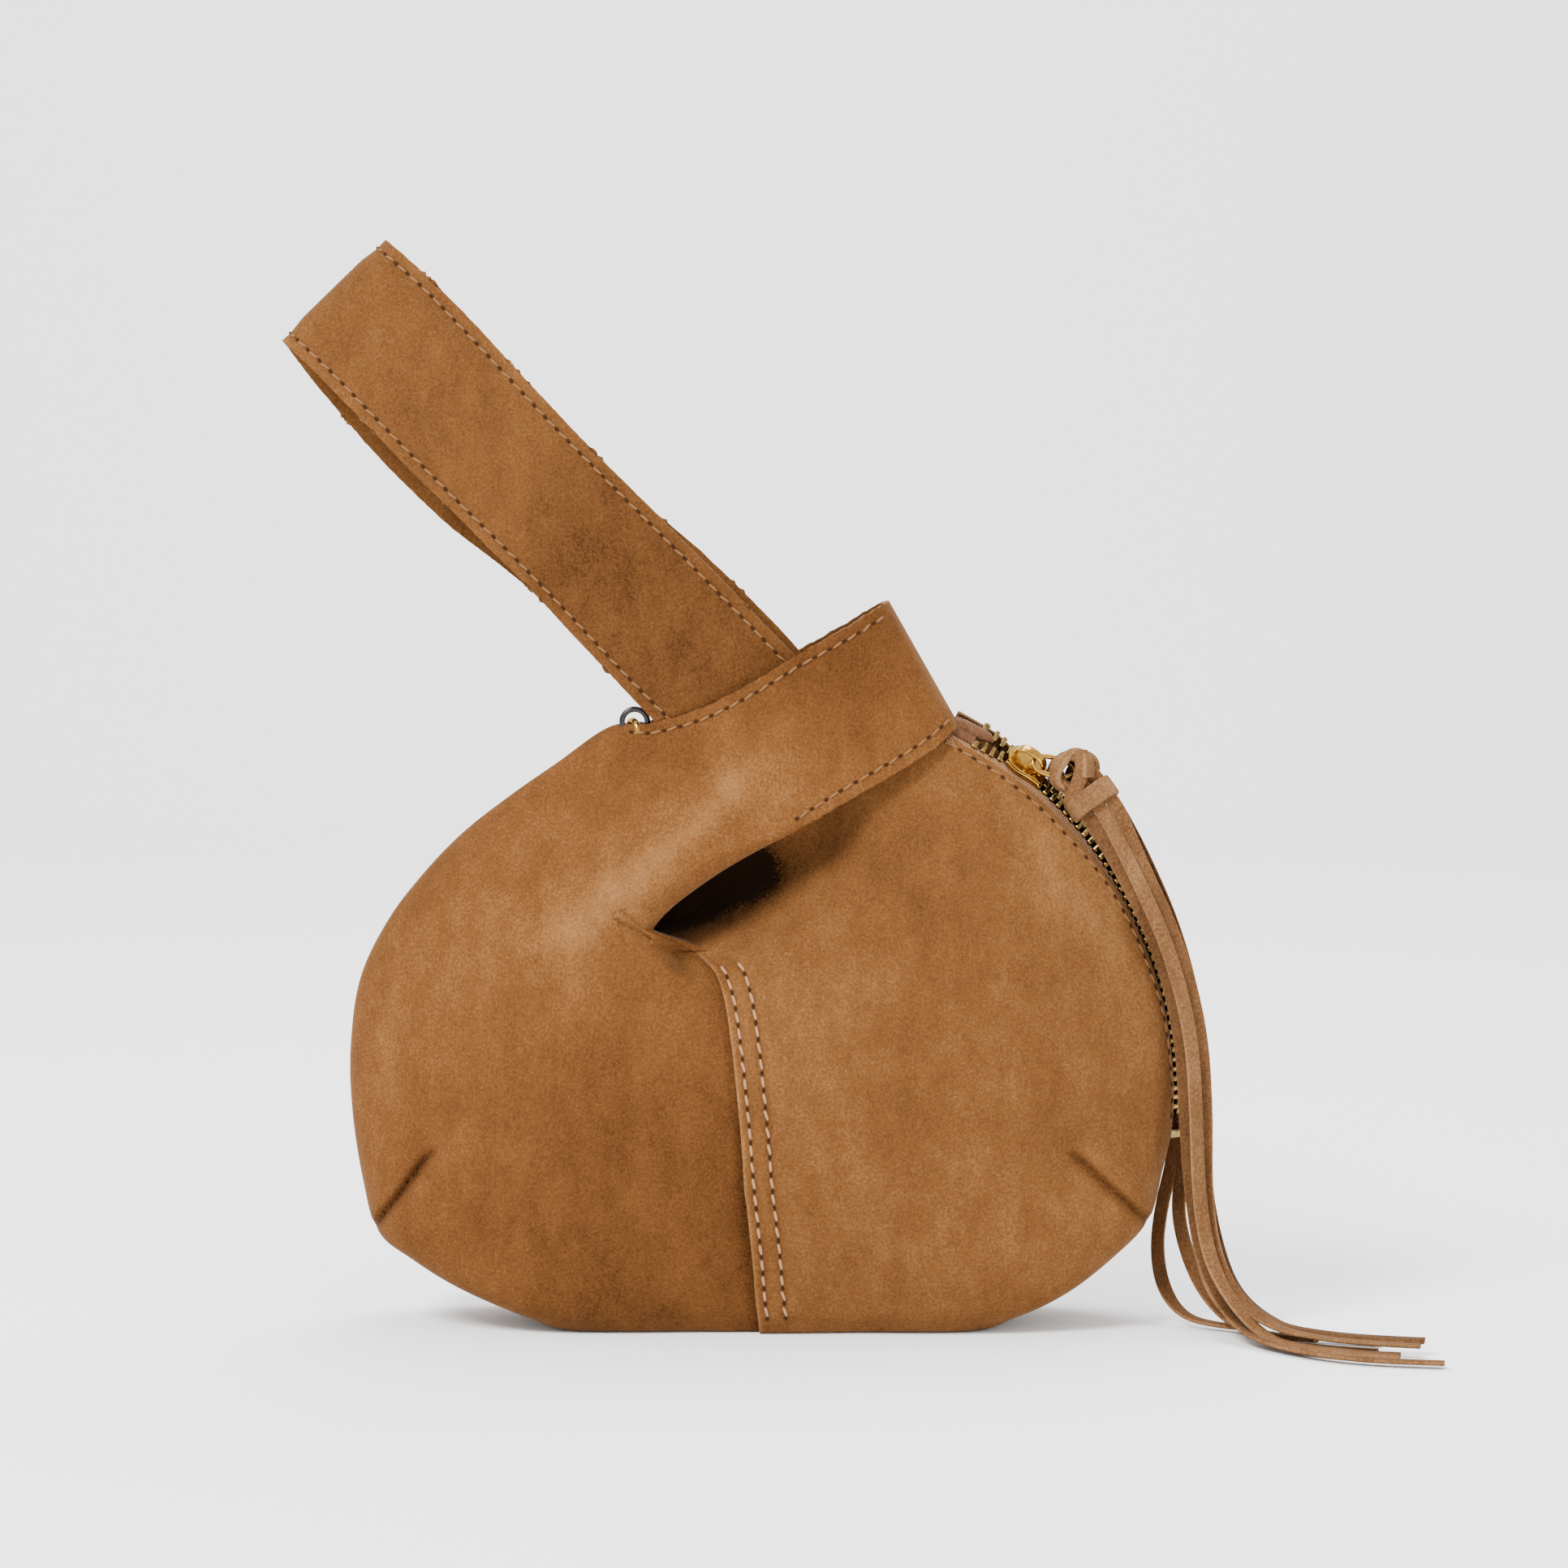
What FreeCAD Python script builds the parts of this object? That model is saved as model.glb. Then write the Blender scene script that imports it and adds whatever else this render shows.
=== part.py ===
import FreeCAD, Part

import math
import os

# A small suede knot bag with a wrist loop, in millimetres.
# X is the width, -Y the front, Z up. The origin is the middle of the flat base.
# Two panel pairs make the pouch. The left pair grows into a short wide loop at the top, and the
# right pair grows into a long wrist loop that passes through it. A brass zip follows the round
# right edge, and its slider carries a wire pull ring and a tassel of suede laces.

V = FreeCAD.Vector
Y_AXIS = V(0, 1, 0)

# ---------------------------------------------------------------- driving dimensions

# Pouch: a round pillow, thinned towards the top and cut flat at the base.
DISC_CENTRE_Z = 60.8
RIM_RADIUS = 108.0
HALF_DEPTH = 27.0
FACE_RADIUS = 500.0
FACE_REACH = 70.0
TOP_Z = 156.0
TOP_HALF_DEPTH = 8.0
TAPER = 0.212
SUEDE = 1.6
LINING_GAP = 0.8
LINING = 0.5

# Straps: two plies of suede, each this thick.
PLY = 1.3
STRAP_HALF_WIDTH = 18.6

# Long strap: s runs up the strap from its crossing with the short loop.
LONG_START = V(-10, 0, 167)
LONG_ANGLE = 133.9
LONG_NECK_END = 5.0
LONG_FREE_START = 14.0
LONG_END = 142.9
LONG_HALF_GAP = 12.0
LONG_ROOT_GAP = 5.6

# Short loop: p runs along the strap and is 0 at its outer fold.
SHORT_FOLD = V(42.2, 0, 172.6)
SHORT_ANGLE = 31.8
SHORT_SPREAD = 0.12
SHORT_CLEARANCE = 9.0
SHORT_KNEE = -82.0
SHORT_ROOT = -104.0
SHORT_ROOT_Y = 6.0

# Zip: teeth on an arc about the disc's centre, rolled towards the front.
CHAIN_RADIUS = 105.4
CHAIN_Y = 0.3
ROLL = 40.0
ZIP_LOW, ZIP_HIGH = -6.8, 59.5
TEETH_LOW, TEETH_HIGH = -4.9, 56.8
TOOTH_PITCH = 2.5
TOOTH_LENGTH = 1.25
TOOTH_HALF_HEIGHT = 1.2
TOOTH_INNER, TOOTH_OUTER = 0.45, 2.9
TAPE = 0.6
SLOT_RADIUS = 99.7
SLOT_LOW, SLOT_HIGH = -7.2, 61.6
LINING_SLOT_RADIUS = 93.5
TAPE_TUCK_RADIUS = 95.5
TAPE_FLAT_FRONT, TAPE_FLAT_BACK = 8.3, 6.8
STOP_LENGTH = 1.6
BOTTOM_STOP_LENGTH = 2.4
END_TAB = 1.2

# Slider and pull ring.
SLIDER_ANGLE = 51.0
SLIDER_HALF_LENGTH = 5.65
SLIDER_HALF_WIDTH = 4.0
PLATE_INNER, PLATE_OUTER = 1.5, 2.4
PLATE_FLANGE = 0.55
CHANNEL_PLAY = 0.25
POST_START, POST_END, POST_HALF_WIDTH = -4.5, -1.5, 0.25
BRIDGE_HALF_WIDTH = 0.75
BAIL_HEIGHT = 4.6
RING_WIRE = 0.6
RING_HALF_WIDTH = 2.4
RING_LENGTH = 11.5
RING_SLOPE = -14.0

# Tassel.
LOOP_MAJOR, LOOP_MINOR = 3.3, 1.4
TASSEL_DIRECTION = V(0.58, -0.14, -0.80).normalize()
BAND_NEAR, BAND_FAR = 5.4, 11.0
LACE_RADIUS = 1.1
LACE_COLUMN, LACE_ROW = 3.75, 2.3
BAND_WALL = 0.9
BAND_CORNER = 1.8

# Key ring and the brass ring that holds it, above the left panels' top edge.
KEY_CENTRE = V(-32.7, -2.0, 157.35)
KEY_MAJOR, KEY_MINOR = 3.3, 0.75
BRASS_MAJOR, BRASS_MINOR = 3.25, 0.95
TAB_TOP_Z = 152.9
TAB_HALF_LENGTH, TAB_HALF_WIDTH = 2.4, 2.2
LEDGE_Z = 150.0

ALL = 400.0      # reach of a cutting block, larger than the bag


# ---------------------------------------------------------------- drawing helpers

def xz(x, z):
    return V(x, 0, z)


def line(a, b):
    return Part.LineSegment(a, b).toShape()


def arc(a, middle, b):
    return Part.Arc(a, middle, b).toShape()


def polygon(points):
    """A face with straight sides."""
    return Part.Face(Part.makePolygon(list(points) + [points[0]]))


def face(edges):
    return Part.Face(Part.Wire(edges))


def slab(outline, low_y, high_y):
    """An outline in the XZ plane, made thick between two depths."""
    moved = outline.copy()
    moved.translate(V(0, low_y, 0))
    return moved.extrude(V(0, high_y - low_y, 0))


def placed(shape, origin, x_axis, z_axis):
    """Put a shape drawn about the origin into a frame given by two of its axes."""
    y_axis = z_axis.cross(x_axis)
    moved = shape.copy()
    moved.Placement = FreeCAD.Placement(origin, FreeCAD.Rotation(x_axis, y_axis, z_axis, "ZXY"))
    return moved


def box(low, high):
    return Part.makeBox(high.x - low.x, high.y - low.y, high.z - low.z, low)


def fused(shapes):
    return shapes[0].multiFuse(shapes[1:]).removeSplitter()


def largest(shape):
    return max(shape.Solids, key=lambda solid: solid.Volume)


def offset_path(points, distance):
    """Move an open path of straight runs in its (first, second) plane to its left side."""
    moved = []
    last = len(points) - 1
    for index, (a, b) in enumerate(points):
        before = points[max(index - 1, 0)]
        after = points[min(index + 1, last)]
        normals = []
        for start, end in ((before, (a, b)), ((a, b), after)):
            length = math.dist(start, end)
            if length > 0:
                normals.append((-(end[1] - start[1]) / length, (end[0] - start[0]) / length))
        nx = sum(n[0] for n in normals)
        ny = sum(n[1] for n in normals)
        scale = 2 * distance / (nx * nx + ny * ny) if len(normals) == 2 else distance
        moved.append((a + nx * scale, b + ny * scale))
    return moved


def ribbon(points, thickness):
    """The outline of a strip along a path, as points of the same plane."""
    left = offset_path(points, thickness / 2)
    right = offset_path(points, -thickness / 2)
    return left + right[::-1]


# ---------------------------------------------------------------- pouch

def shoulder_arc():
    """Centre and radius, in (r, y), of the arc from each nearly flat face to the rim."""
    drop = FACE_RADIUS - math.sqrt(FACE_RADIUS ** 2 - FACE_REACH ** 2)
    slope = math.asin(FACE_REACH / FACE_RADIUS)
    start_y = HALF_DEPTH - drop
    chord_r = RIM_RADIUS - FACE_REACH
    towards_centre = -chord_r * math.sin(slope) + start_y * math.cos(slope)
    radius = (chord_r ** 2 + start_y ** 2) / (2 * towards_centre)
    centre_r = FACE_REACH - radius * math.sin(slope)
    centre_y = -start_y + radius * math.cos(slope)
    return centre_r, centre_y, radius


SHOULDER_R, SHOULDER_Y, SHOULDER_RADIUS = shoulder_arc()


def half_depth(r, inset):
    """Depth of the pillow's surface, or of a layer inside it, near the rim."""
    return math.sqrt((SHOULDER_RADIUS - inset) ** 2 - (r - SHOULDER_R) ** 2) - SHOULDER_Y


def pillow(inset):
    """The round pillow, turned about the Y axis through the disc's centre."""
    slope = math.asin(FACE_REACH / FACE_RADIUS)
    face_radius = FACE_RADIUS - inset
    face_centre = FACE_RADIUS - HALF_DEPTH
    shoulder = SHOULDER_RADIUS - inset
    rim = SHOULDER_R + math.sqrt(shoulder ** 2 - SHOULDER_Y ** 2)
    rim_slope = math.asin((rim - SHOULDER_R) / shoulder)

    def on_face(angle, side):
        return V(face_radius * math.sin(angle), side * (face_radius * math.cos(angle) - face_centre),
                 DISC_CENTRE_Z)

    def on_shoulder(angle, side):
        return V(SHOULDER_R + shoulder * math.sin(angle),
                 side * (shoulder * math.cos(angle) - SHOULDER_Y), DISC_CENTRE_Z)

    edges = [line(on_face(0, 1), on_face(0, -1))]
    for side in (-1, 1):
        face_arc = (on_face(0, side), on_face(slope / 2, side), on_face(slope, side))
        half_way = (slope + rim_slope) / 2
        rim_arc = (on_face(slope, side), on_shoulder(half_way, side), V(rim, 0, DISC_CENTRE_Z))
        edges += [arc(*face_arc), arc(*rim_arc)]
    profile = Part.Face(Part.Wire(Part.__sortEdges__(edges)))
    return profile.revolve(xz(0, DISC_CENTRE_Z), Y_AXIS, 360)


def pouch_outline():
    """Front view of the pouch: a flat base, rounded corners, and a ledge for the key ring."""
    return face([
        line(xz(-48, 0), xz(58, 0)),
        arc(xz(58, 0), xz(83, 11.5), xz(103, 30)),
        line(xz(103, 30), xz(125, 60)),
        line(xz(125, 60), xz(125, TOP_Z)),
        line(xz(125, TOP_Z), xz(-16, TOP_Z)),
        line(xz(-16, TOP_Z), xz(-22, LEDGE_Z)),
        line(xz(-22, LEDGE_Z), xz(-47.5, LEDGE_Z)),
        arc(xz(-47.5, LEDGE_Z), xz(-83.2, 122.6), xz(-106.3, 86)),
        arc(xz(-106.3, 86), xz(-106.9, 58), xz(-100.4, 24.1)),
        arc(xz(-100.4, 24.1), xz(-79, 10.5), xz(-48, 0)),
    ])


def pouch(inset):
    """The whole pouch as one closed form, or a layer's inner form at some inset."""
    outline = pouch_outline()
    if inset:
        outline = outline.makeOffset2D(-inset, 2)
    front = slab(outline, -ALL / 2, ALL / 2)
    lean = math.hypot(1, TAPER) * inset
    top = TOP_HALF_DEPTH - lean
    base = TOP_HALF_DEPTH + TAPER * TOP_Z - lean
    side = polygon([V(-ALL / 2, -base, 0), V(-ALL / 2, base, 0),
                    V(-ALL / 2, top, TOP_Z), V(-ALL / 2, -top, TOP_Z)])
    return pillow(inset).common(front).common(side.extrude(V(ALL, 0, 0)))


def seam_side(left):
    """Everything left or right of the curved seam that joins the two panel pairs."""
    far = -ALL / 2 if left else ALL / 2
    return face([
        line(xz(0, -5), xz(0, 0)),
        arc(xz(0, 0), xz(-4.8, 49), xz(-11.3, 93.9)),
        arc(xz(-11.3, 93.9), xz(-19, 122), xz(-24, LEDGE_Z)),
        line(xz(-24, LEDGE_Z), xz(-24, ALL)),
        line(xz(-24, ALL), xz(far, ALL)),
        line(xz(far, ALL), xz(far, -5)),
        line(xz(far, -5), xz(0, -5)),
    ])


def zip_sector(inner_radius, low, high):
    """The ring sector of the rim that the zip needs free of panel."""
    profile = polygon([V(inner_radius, y, DISC_CENTRE_Z) for y in (-ALL / 4, ALL / 4)]
                      + [V(ALL / 2, y, DISC_CENTRE_Z) for y in (ALL / 4, -ALL / 4)])
    return turned(profile, low, high)


def turned(profile, low, high):
    """Turn a profile drawn at three o'clock through an arc of the disc, angles up from there."""
    axis_point = xz(0, DISC_CENTRE_Z)
    start = profile.copy()
    start.rotate(axis_point, Y_AXIS, -low)
    return start.revolve(axis_point, Y_AXIS, -(high - low))


def half_space(front):
    low = -ALL / 2 if front else 0
    return box(V(-ALL / 2, low, -ALL / 4), V(ALL / 2, low + ALL / 2, ALL))


def strap_frame(origin, angle, start):
    """Origin, along and across vectors of a strap, start millimetres along it."""
    along = V(math.cos(math.radians(angle)), 0, math.sin(math.radians(angle)))
    across = V(along.z, 0, -along.x)
    return origin + along * start, along, across


def neck(front):
    """The stump where a right panel narrows into the long strap, up to the strap's bend."""
    end, along, across = strap_frame(LONG_START, LONG_ANGLE, LONG_NECK_END)
    left = end - across * STRAP_HALF_WIDTH
    right = end + across * STRAP_HALF_WIDTH
    sink_z = TOP_Z - SUEDE / 2
    outline = face([
        line(xz(-23.9, sink_z), left),
        line(left, right),
        line(right, right - along * 13),
        arc(right - along * 13, xz(21, 163.5), xz(38, sink_z)),
        line(xz(38, sink_z), xz(-23.9, sink_z)),
    ])
    depths = (-TOP_HALF_DEPTH, -TOP_HALF_DEPTH + 2 * PLY)
    if not front:
        depths = (TOP_HALF_DEPTH - 2 * PLY, TOP_HALF_DEPTH)
    return slab(outline, *depths)


def panels():
    """The four suede panels."""
    shell = pouch(0).cut(pouch(SUEDE)).cut(zip_sector(SLOT_RADIUS, SLOT_LOW, SLOT_HIGH))
    parts = {}
    for depth in ("front", "back"):
        half = shell.common(half_space(depth == "front"))
        for side in ("left", "right"):
            region = slab(seam_side(side == "left"), -ALL / 4, ALL / 4)
            panel = largest(half.common(region))
            if side == "right":
                panel = fused([panel, neck(depth == "front")])
            parts[depth + "_" + side + "_panel"] = panel
    return parts


def linings():
    """The two lining halves, a gap inside the suede."""
    outer = SUEDE + LINING_GAP
    shell = pouch(outer).cut(pouch(outer + LINING))
    shell = shell.cut(zip_sector(LINING_SLOT_RADIUS, SLOT_LOW - 1, SLOT_HIGH + 1))
    return {name + "_lining": largest(shell.common(half_space(name == "front")))
            for name in ("front", "back")}


# ---------------------------------------------------------------- straps

def long_loop_region(distance):
    """Side view of the long loop, grown by a distance: (s, y) drawn as (x, y)."""
    middle = (LONG_FREE_START + LONG_END) / 2
    reach = middle - LONG_FREE_START
    bulge = LONG_HALF_GAP - LONG_ROOT_GAP
    leg_radius = (reach ** 2 + bulge ** 2) / (2 * bulge)
    leg_y = leg_radius - LONG_HALF_GAP
    tip = LONG_END - PLY - middle
    # The fold's circle touches both legs' circles from inside and ends at the tip.
    fold_radius = (leg_radius ** 2 - leg_y ** 2 - tip ** 2) / (2 * (leg_radius - tip))
    fold = V(middle + tip - fold_radius, 0, 0)
    edges = []
    corners = []
    for side in (-1, 1):
        centre = V(middle, -side * leg_y, 0)
        radius = leg_radius + distance
        to_fold = (fold - centre).normalize()
        start = centre + V(-reach, side * math.sqrt(radius ** 2 - reach ** 2), 0)
        touch = centre + to_fold * radius
        half_way = ((start - centre).normalize() + to_fold).normalize()
        edges.append(arc(start, centre + half_way * radius, touch))
        corners.append((start, touch))
    edges.append(arc(corners[0][1], fold + V(fold_radius + distance, 0, 0), corners[1][1]))
    edges.append(line(corners[1][0], corners[0][0]))
    return Part.Face(Part.Wire(Part.__sortEdges__(edges)))


def across_strap(region, origin, along, across, half_width):
    """Make a strap's side view, drawn in (x, y), as wide as the strap."""
    shape = region.copy()
    shape.translate(V(0, 0, -half_width))
    solid = shape.extrude(V(0, 0, 2 * half_width))
    return placed(solid, origin, along, across * -1)


def long_strap():
    """Outer and inner ply of the long wrist loop above its bend."""
    _, along, across = strap_frame(LONG_START, LONG_ANGLE, 0)
    parts = {}
    for name, distance in (("outer", PLY), ("inner", 0)):
        region = long_loop_region(distance).cut(long_loop_region(distance - PLY))
        parts["long_strap_" + name + "_ply"] = across_strap(
            region, LONG_START, along, across, STRAP_HALF_WIDTH)
    return parts


def short_loop_region(distance):
    """Side view of the short loop, grown by a distance from the middle of its two plies."""
    lean = math.atan(SHORT_SPREAD)
    # The inner face is a set clearance from the middle plane, more away from the fold.
    inner = (SHORT_CLEARANCE + SHORT_SPREAD * 2 * PLY) / (1 / math.cos(lean) - SHORT_SPREAD)
    radius = inner + PLY
    centre_p = -(inner + 2 * PLY)
    touch = (centre_p + radius * math.sin(lean), -radius * math.cos(lean))
    knee = (SHORT_KNEE, touch[1] - (touch[0] - SHORT_KNEE) * SHORT_SPREAD)
    leg = offset_path([touch, knee, (SHORT_ROOT, -SHORT_ROOT_Y)], distance)
    end_slope = (leg[2][1] - leg[1][1]) / (leg[2][0] - leg[1][0])
    leg[2] = (SHORT_ROOT, leg[1][1] + end_slope * (SHORT_ROOT - leg[1][0]))
    front = [V(p, y, 0) for p, y in leg]
    back = [V(p, -y, 0) for p, y in leg]
    return face([
        arc(back[0], V(centre_p + radius + distance, 0, 0), front[0]),
        line(front[0], front[1]),
        line(front[1], front[2]),
        line(front[2], back[2]),
        line(back[2], back[1]),
        line(back[1], back[0]),
    ])


def short_loop(solid_pouch):
    """Outer and inner ply of the short loop, flared where it grows out of the left panels."""
    _, along, across = strap_frame(SHORT_FOLD, SHORT_ANGLE, 0)
    overshoot = along * 3
    upper = xz(33.1, 188.6) + overshoot
    lower = xz(51.4, 156.6) + overshoot
    outline = face([
        line(lower, upper),
        line(upper, xz(33.1, 188.6)),
        arc(xz(33.1, 188.6), xz(-3.6, 167.3), xz(-38.8, 156.1)),
        line(xz(-38.8, 156.1), xz(-56, 142)),
        line(xz(-56, 142), xz(-36, 96)),
        line(xz(-36, 96), xz(-22.4, 109)),
        arc(xz(-22.4, 109), xz(11, 131), xz(51.4, 156.6)),
        line(xz(51.4, 156.6), lower),
    ])
    shape = slab(outline, -ALL / 4, ALL / 4)
    parts = {}
    for name, distance in (("outer", PLY), ("inner", 0)):
        region = short_loop_region(distance).cut(short_loop_region(distance - PLY))
        band = across_strap(region, SHORT_FOLD, along, across, ALL / 4)
        parts["short_loop_" + name + "_ply"] = largest(band.common(shape).cut(solid_pouch))
    return parts


# ---------------------------------------------------------------- zip

def chain_frame(angle):
    """Origin, along, back and out vectors of the tooth chain at an angle of its arc."""
    turn = math.radians(angle)
    roll = math.radians(ROLL)
    radial = V(math.cos(turn), 0, math.sin(turn))
    along = V(math.sin(turn), 0, -math.cos(turn))
    out = radial * math.cos(roll) - Y_AXIS * math.sin(roll)
    origin = xz(0, DISC_CENTRE_Z) + radial * CHAIN_RADIUS + Y_AXIS * CHAIN_Y
    return origin, along, out.cross(along), out


def chain_point(forward, out):
    """A point of the zip's section as (r, y): forward of the chain and out of its plane."""
    roll = math.radians(ROLL)
    r = CHAIN_RADIUS - forward * math.sin(roll) + out * math.cos(roll)
    y = CHAIN_Y - forward * math.cos(roll) - out * math.sin(roll)
    return r, y


def strip_along_zip(path, thickness, low, high):
    outline = [V(r, y, DISC_CENTRE_Z) for r, y in ribbon(path, thickness)]
    return turned(polygon(outline), low, high)


def zip_tapes(parts):
    """Woven tapes from the teeth to under the panels' edges, cut to the panels they meet."""
    tape_start = TOOTH_OUTER + 0.05
    tuck_y = half_depth(TAPE_TUCK_RADIUS, SUEDE) - TAPE
    under_edge = half_depth(SLOT_RADIUS, SUEDE) - TAPE / 2 - 0.1
    front_path = [chain_point(tape_start, 0), chain_point(TAPE_FLAT_FRONT, 0),
                  (TAPE_TUCK_RADIUS, -tuck_y)]
    back_path = [chain_point(-tape_start, 0), chain_point(-TAPE_FLAT_BACK, 0),
                 (SLOT_RADIUS, under_edge), (TAPE_TUCK_RADIUS, tuck_y)]
    front = strip_along_zip(front_path, TAPE, ZIP_LOW, ZIP_HIGH).cut(parts["front_right_panel"])
    back = strip_along_zip(back_path, TAPE, ZIP_LOW, ZIP_HIGH).cut(parts["back_right_panel"])
    return {"zip_tape_front": largest(front), "zip_tape_back": largest(back)}


def at_chain(shape, angle):
    origin, along, _, out = chain_frame(angle)
    return placed(shape, origin, along, out)


def zip_teeth():
    """Both rows of teeth, half a pitch apart, and the stops at the ends of the chain."""
    pitch = math.degrees(TOOTH_PITCH / CHAIN_RADIUS)
    count = int((TEETH_HIGH - TEETH_LOW) / pitch)
    rows = {}
    for name, side, shift in (("front", -1, 0), ("back", 1, 0.5)):
        reach = sorted((side * TOOTH_INNER, side * TOOTH_OUTER))
        tooth = box(V(-TOOTH_LENGTH / 2, reach[0], -TOOTH_HALF_HEIGHT),
                    V(TOOTH_LENGTH / 2, reach[1], TOOTH_HALF_HEIGHT))
        teeth = [at_chain(tooth, TEETH_HIGH - (index + shift) * pitch) for index in range(count)]
        rows["zip_teeth_" + name] = Part.makeCompound(teeth)
    stops = []
    for side in (-1, 1):
        reach = sorted((side * TOOTH_INNER, side * TOOTH_OUTER))
        stop = box(V(-STOP_LENGTH / 2, reach[0], -TOOTH_HALF_HEIGHT),
                   V(STOP_LENGTH / 2, reach[1], TOOTH_HALF_HEIGHT))
        stops.append(at_chain(stop, TEETH_HIGH + 1.4))
    rows["zip_top_stops"] = Part.makeCompound(stops)
    bottom = box(V(-BOTTOM_STOP_LENGTH / 2, -TOOTH_OUTER, -TOOTH_HALF_HEIGHT),
                 V(BOTTOM_STOP_LENGTH / 2, TOOTH_OUTER, TOOTH_HALF_HEIGHT))
    rows["zip_bottom_stop"] = at_chain(bottom, ZIP_LOW + 0.7)
    return rows


def zip_end_tab():
    """A leather tab over the top end of the tapes."""
    height = TAPE / 2 + END_TAB / 2 + 0.02
    path = [chain_point(7.5, height), chain_point(-6.0, height)]
    return strip_along_zip(path, END_TAB, TEETH_HIGH + 2.1, TEETH_HIGH + 4.4)


def slider():
    """Slider body: two plates round the chain, the post between the rows, and the bridge."""
    blunt = 0.8
    narrow = SLIDER_HALF_WIDTH - 0.6
    half = [(-SLIDER_HALF_LENGTH, SLIDER_HALF_WIDTH - blunt),
            (-SLIDER_HALF_LENGTH + blunt, SLIDER_HALF_WIDTH),
            (0, SLIDER_HALF_WIDTH),
            (SLIDER_HALF_LENGTH - blunt, narrow),
            (SLIDER_HALF_LENGTH, narrow - blunt)]
    outline = half + [(x, -y) for x, y in half[::-1]]
    plan = polygon([V(x, y, PLATE_FLANGE) for x, y in outline])
    channel_half = TOOTH_OUTER + CHANNEL_PLAY
    channel = box(V(-ALL / 4, -channel_half, 0), V(ALL / 4, channel_half, PLATE_INNER))
    plate = plan.extrude(V(0, 0, PLATE_OUTER - PLATE_FLANGE)).cut(channel)
    other = plate.mirror(V(0, 0, 0), V(0, 0, 1))
    post_height = PLATE_OUTER - 0.2
    post = box(V(POST_START, -POST_HALF_WIDTH, -post_height), V(POST_END, POST_HALF_WIDTH, post_height))
    arch = [(-3.2, 2.2), (-3.2, 5.6), (-2.2, 7.1), (2.6, 7.1), (3.7, 5.6), (3.7, 2.2),
            (2.9, 2.2), (2.9, 5.4), (2.2, 6.3), (-1.8, 6.3), (-2.4, 5.4), (-2.4, 2.2)]
    side = polygon([V(x, -BRIDGE_HALF_WIDTH, z) for x, z in arch])
    bridge = side.extrude(V(0, 2 * BRIDGE_HALF_WIDTH, 0))
    return at_chain(fused([plate, other, post, bridge]), SLIDER_ANGLE)


def bail_point():
    """Centre of the pull ring's wire inside the slider's bridge."""
    origin, along, _, out = chain_frame(SLIDER_ANGLE)
    return origin + along * 0.3 + out * BAIL_HEIGHT


def ring_end():
    """Centre of the pull ring's wire at its far end, which carries the tassel."""
    slope = math.radians(RING_SLOPE)
    return bail_point() + V(math.cos(slope), 0, math.sin(slope)) * RING_LENGTH


def pull_ring():
    """A long ring of brass wire: two straight sides and two round ends."""
    side_start = RING_HALF_WIDTH
    side_end = RING_LENGTH - RING_HALF_WIDTH
    pieces = []
    for y in (-RING_HALF_WIDTH, RING_HALF_WIDTH):
        pieces.append(Part.makeCylinder(RING_WIRE, side_end - side_start,
                                        V(side_start, y, 0), V(1, 0, 0)))
    for x, turn in ((side_start, 90), (side_end, -90)):
        bend = Part.makeTorus(RING_HALF_WIDTH, RING_WIRE, V(0, 0, 0), V(0, 0, 1), -180, 180, 180)
        bend.rotate(V(0, 0, 0), V(0, 0, 1), turn)
        bend.translate(V(x, 0, 0))
        pieces.append(bend)
    along = (ring_end() - bail_point()).normalize()
    return placed(fused(pieces), bail_point(), along, along.cross(Y_AXIS))


# ---------------------------------------------------------------- tassel

def tassel_frame():
    """Origin at the ring's far end, the tassel's own direction there, and its right side."""
    down = TASSEL_DIRECTION
    return ring_end(), down, V(-down.z, 0, down.x).normalize()


def tassel_head():
    """The folded laces that loop through the pull ring, and their stem inside the band."""
    origin, down, _ = tassel_frame()
    loop = Part.makeTorus(LOOP_MAJOR, LOOP_MINOR, origin, Y_AXIS)
    stem = Part.makeCylinder(LACE_RADIUS - 0.05, BAND_FAR - LOOP_MAJOR,
                             origin + down * LOOP_MAJOR, down)
    return fused([loop, stem])


def tassel_band():
    """The suede band wrapped round the laces under their loop."""
    origin, down, right = tassel_frame()
    length = BAND_FAR - BAND_NEAR

    def sleeve(half_width, half_depth_y, corner):
        block = box(V(-half_width, -half_depth_y, 0), V(half_width, half_depth_y, length))
        upright = [edge for edge in block.Edges if abs(edge.tangentAt(edge.FirstParameter).z) > 0.9]
        return block.makeFillet(corner, upright)

    inner_width = LACE_COLUMN + LACE_RADIUS + 0.15
    inner_depth = LACE_ROW + LACE_RADIUS + 0.2
    ring = sleeve(inner_width + BAND_WALL, inner_depth + BAND_WALL, BAND_CORNER).cut(
        sleeve(inner_width, inner_depth, BAND_CORNER - BAND_WALL))
    return placed(ring, origin + down * BAND_NEAR, right, down)


def slot_point(column, row, distance):
    """A lace's place in the band's 3 by 3 bundle, so far along the tassel from the ring."""
    origin, down, right = tassel_frame()
    behind = right.cross(down)
    return origin + right * (column * LACE_COLUMN) + behind * (row * LACE_ROW) + down * distance


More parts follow.
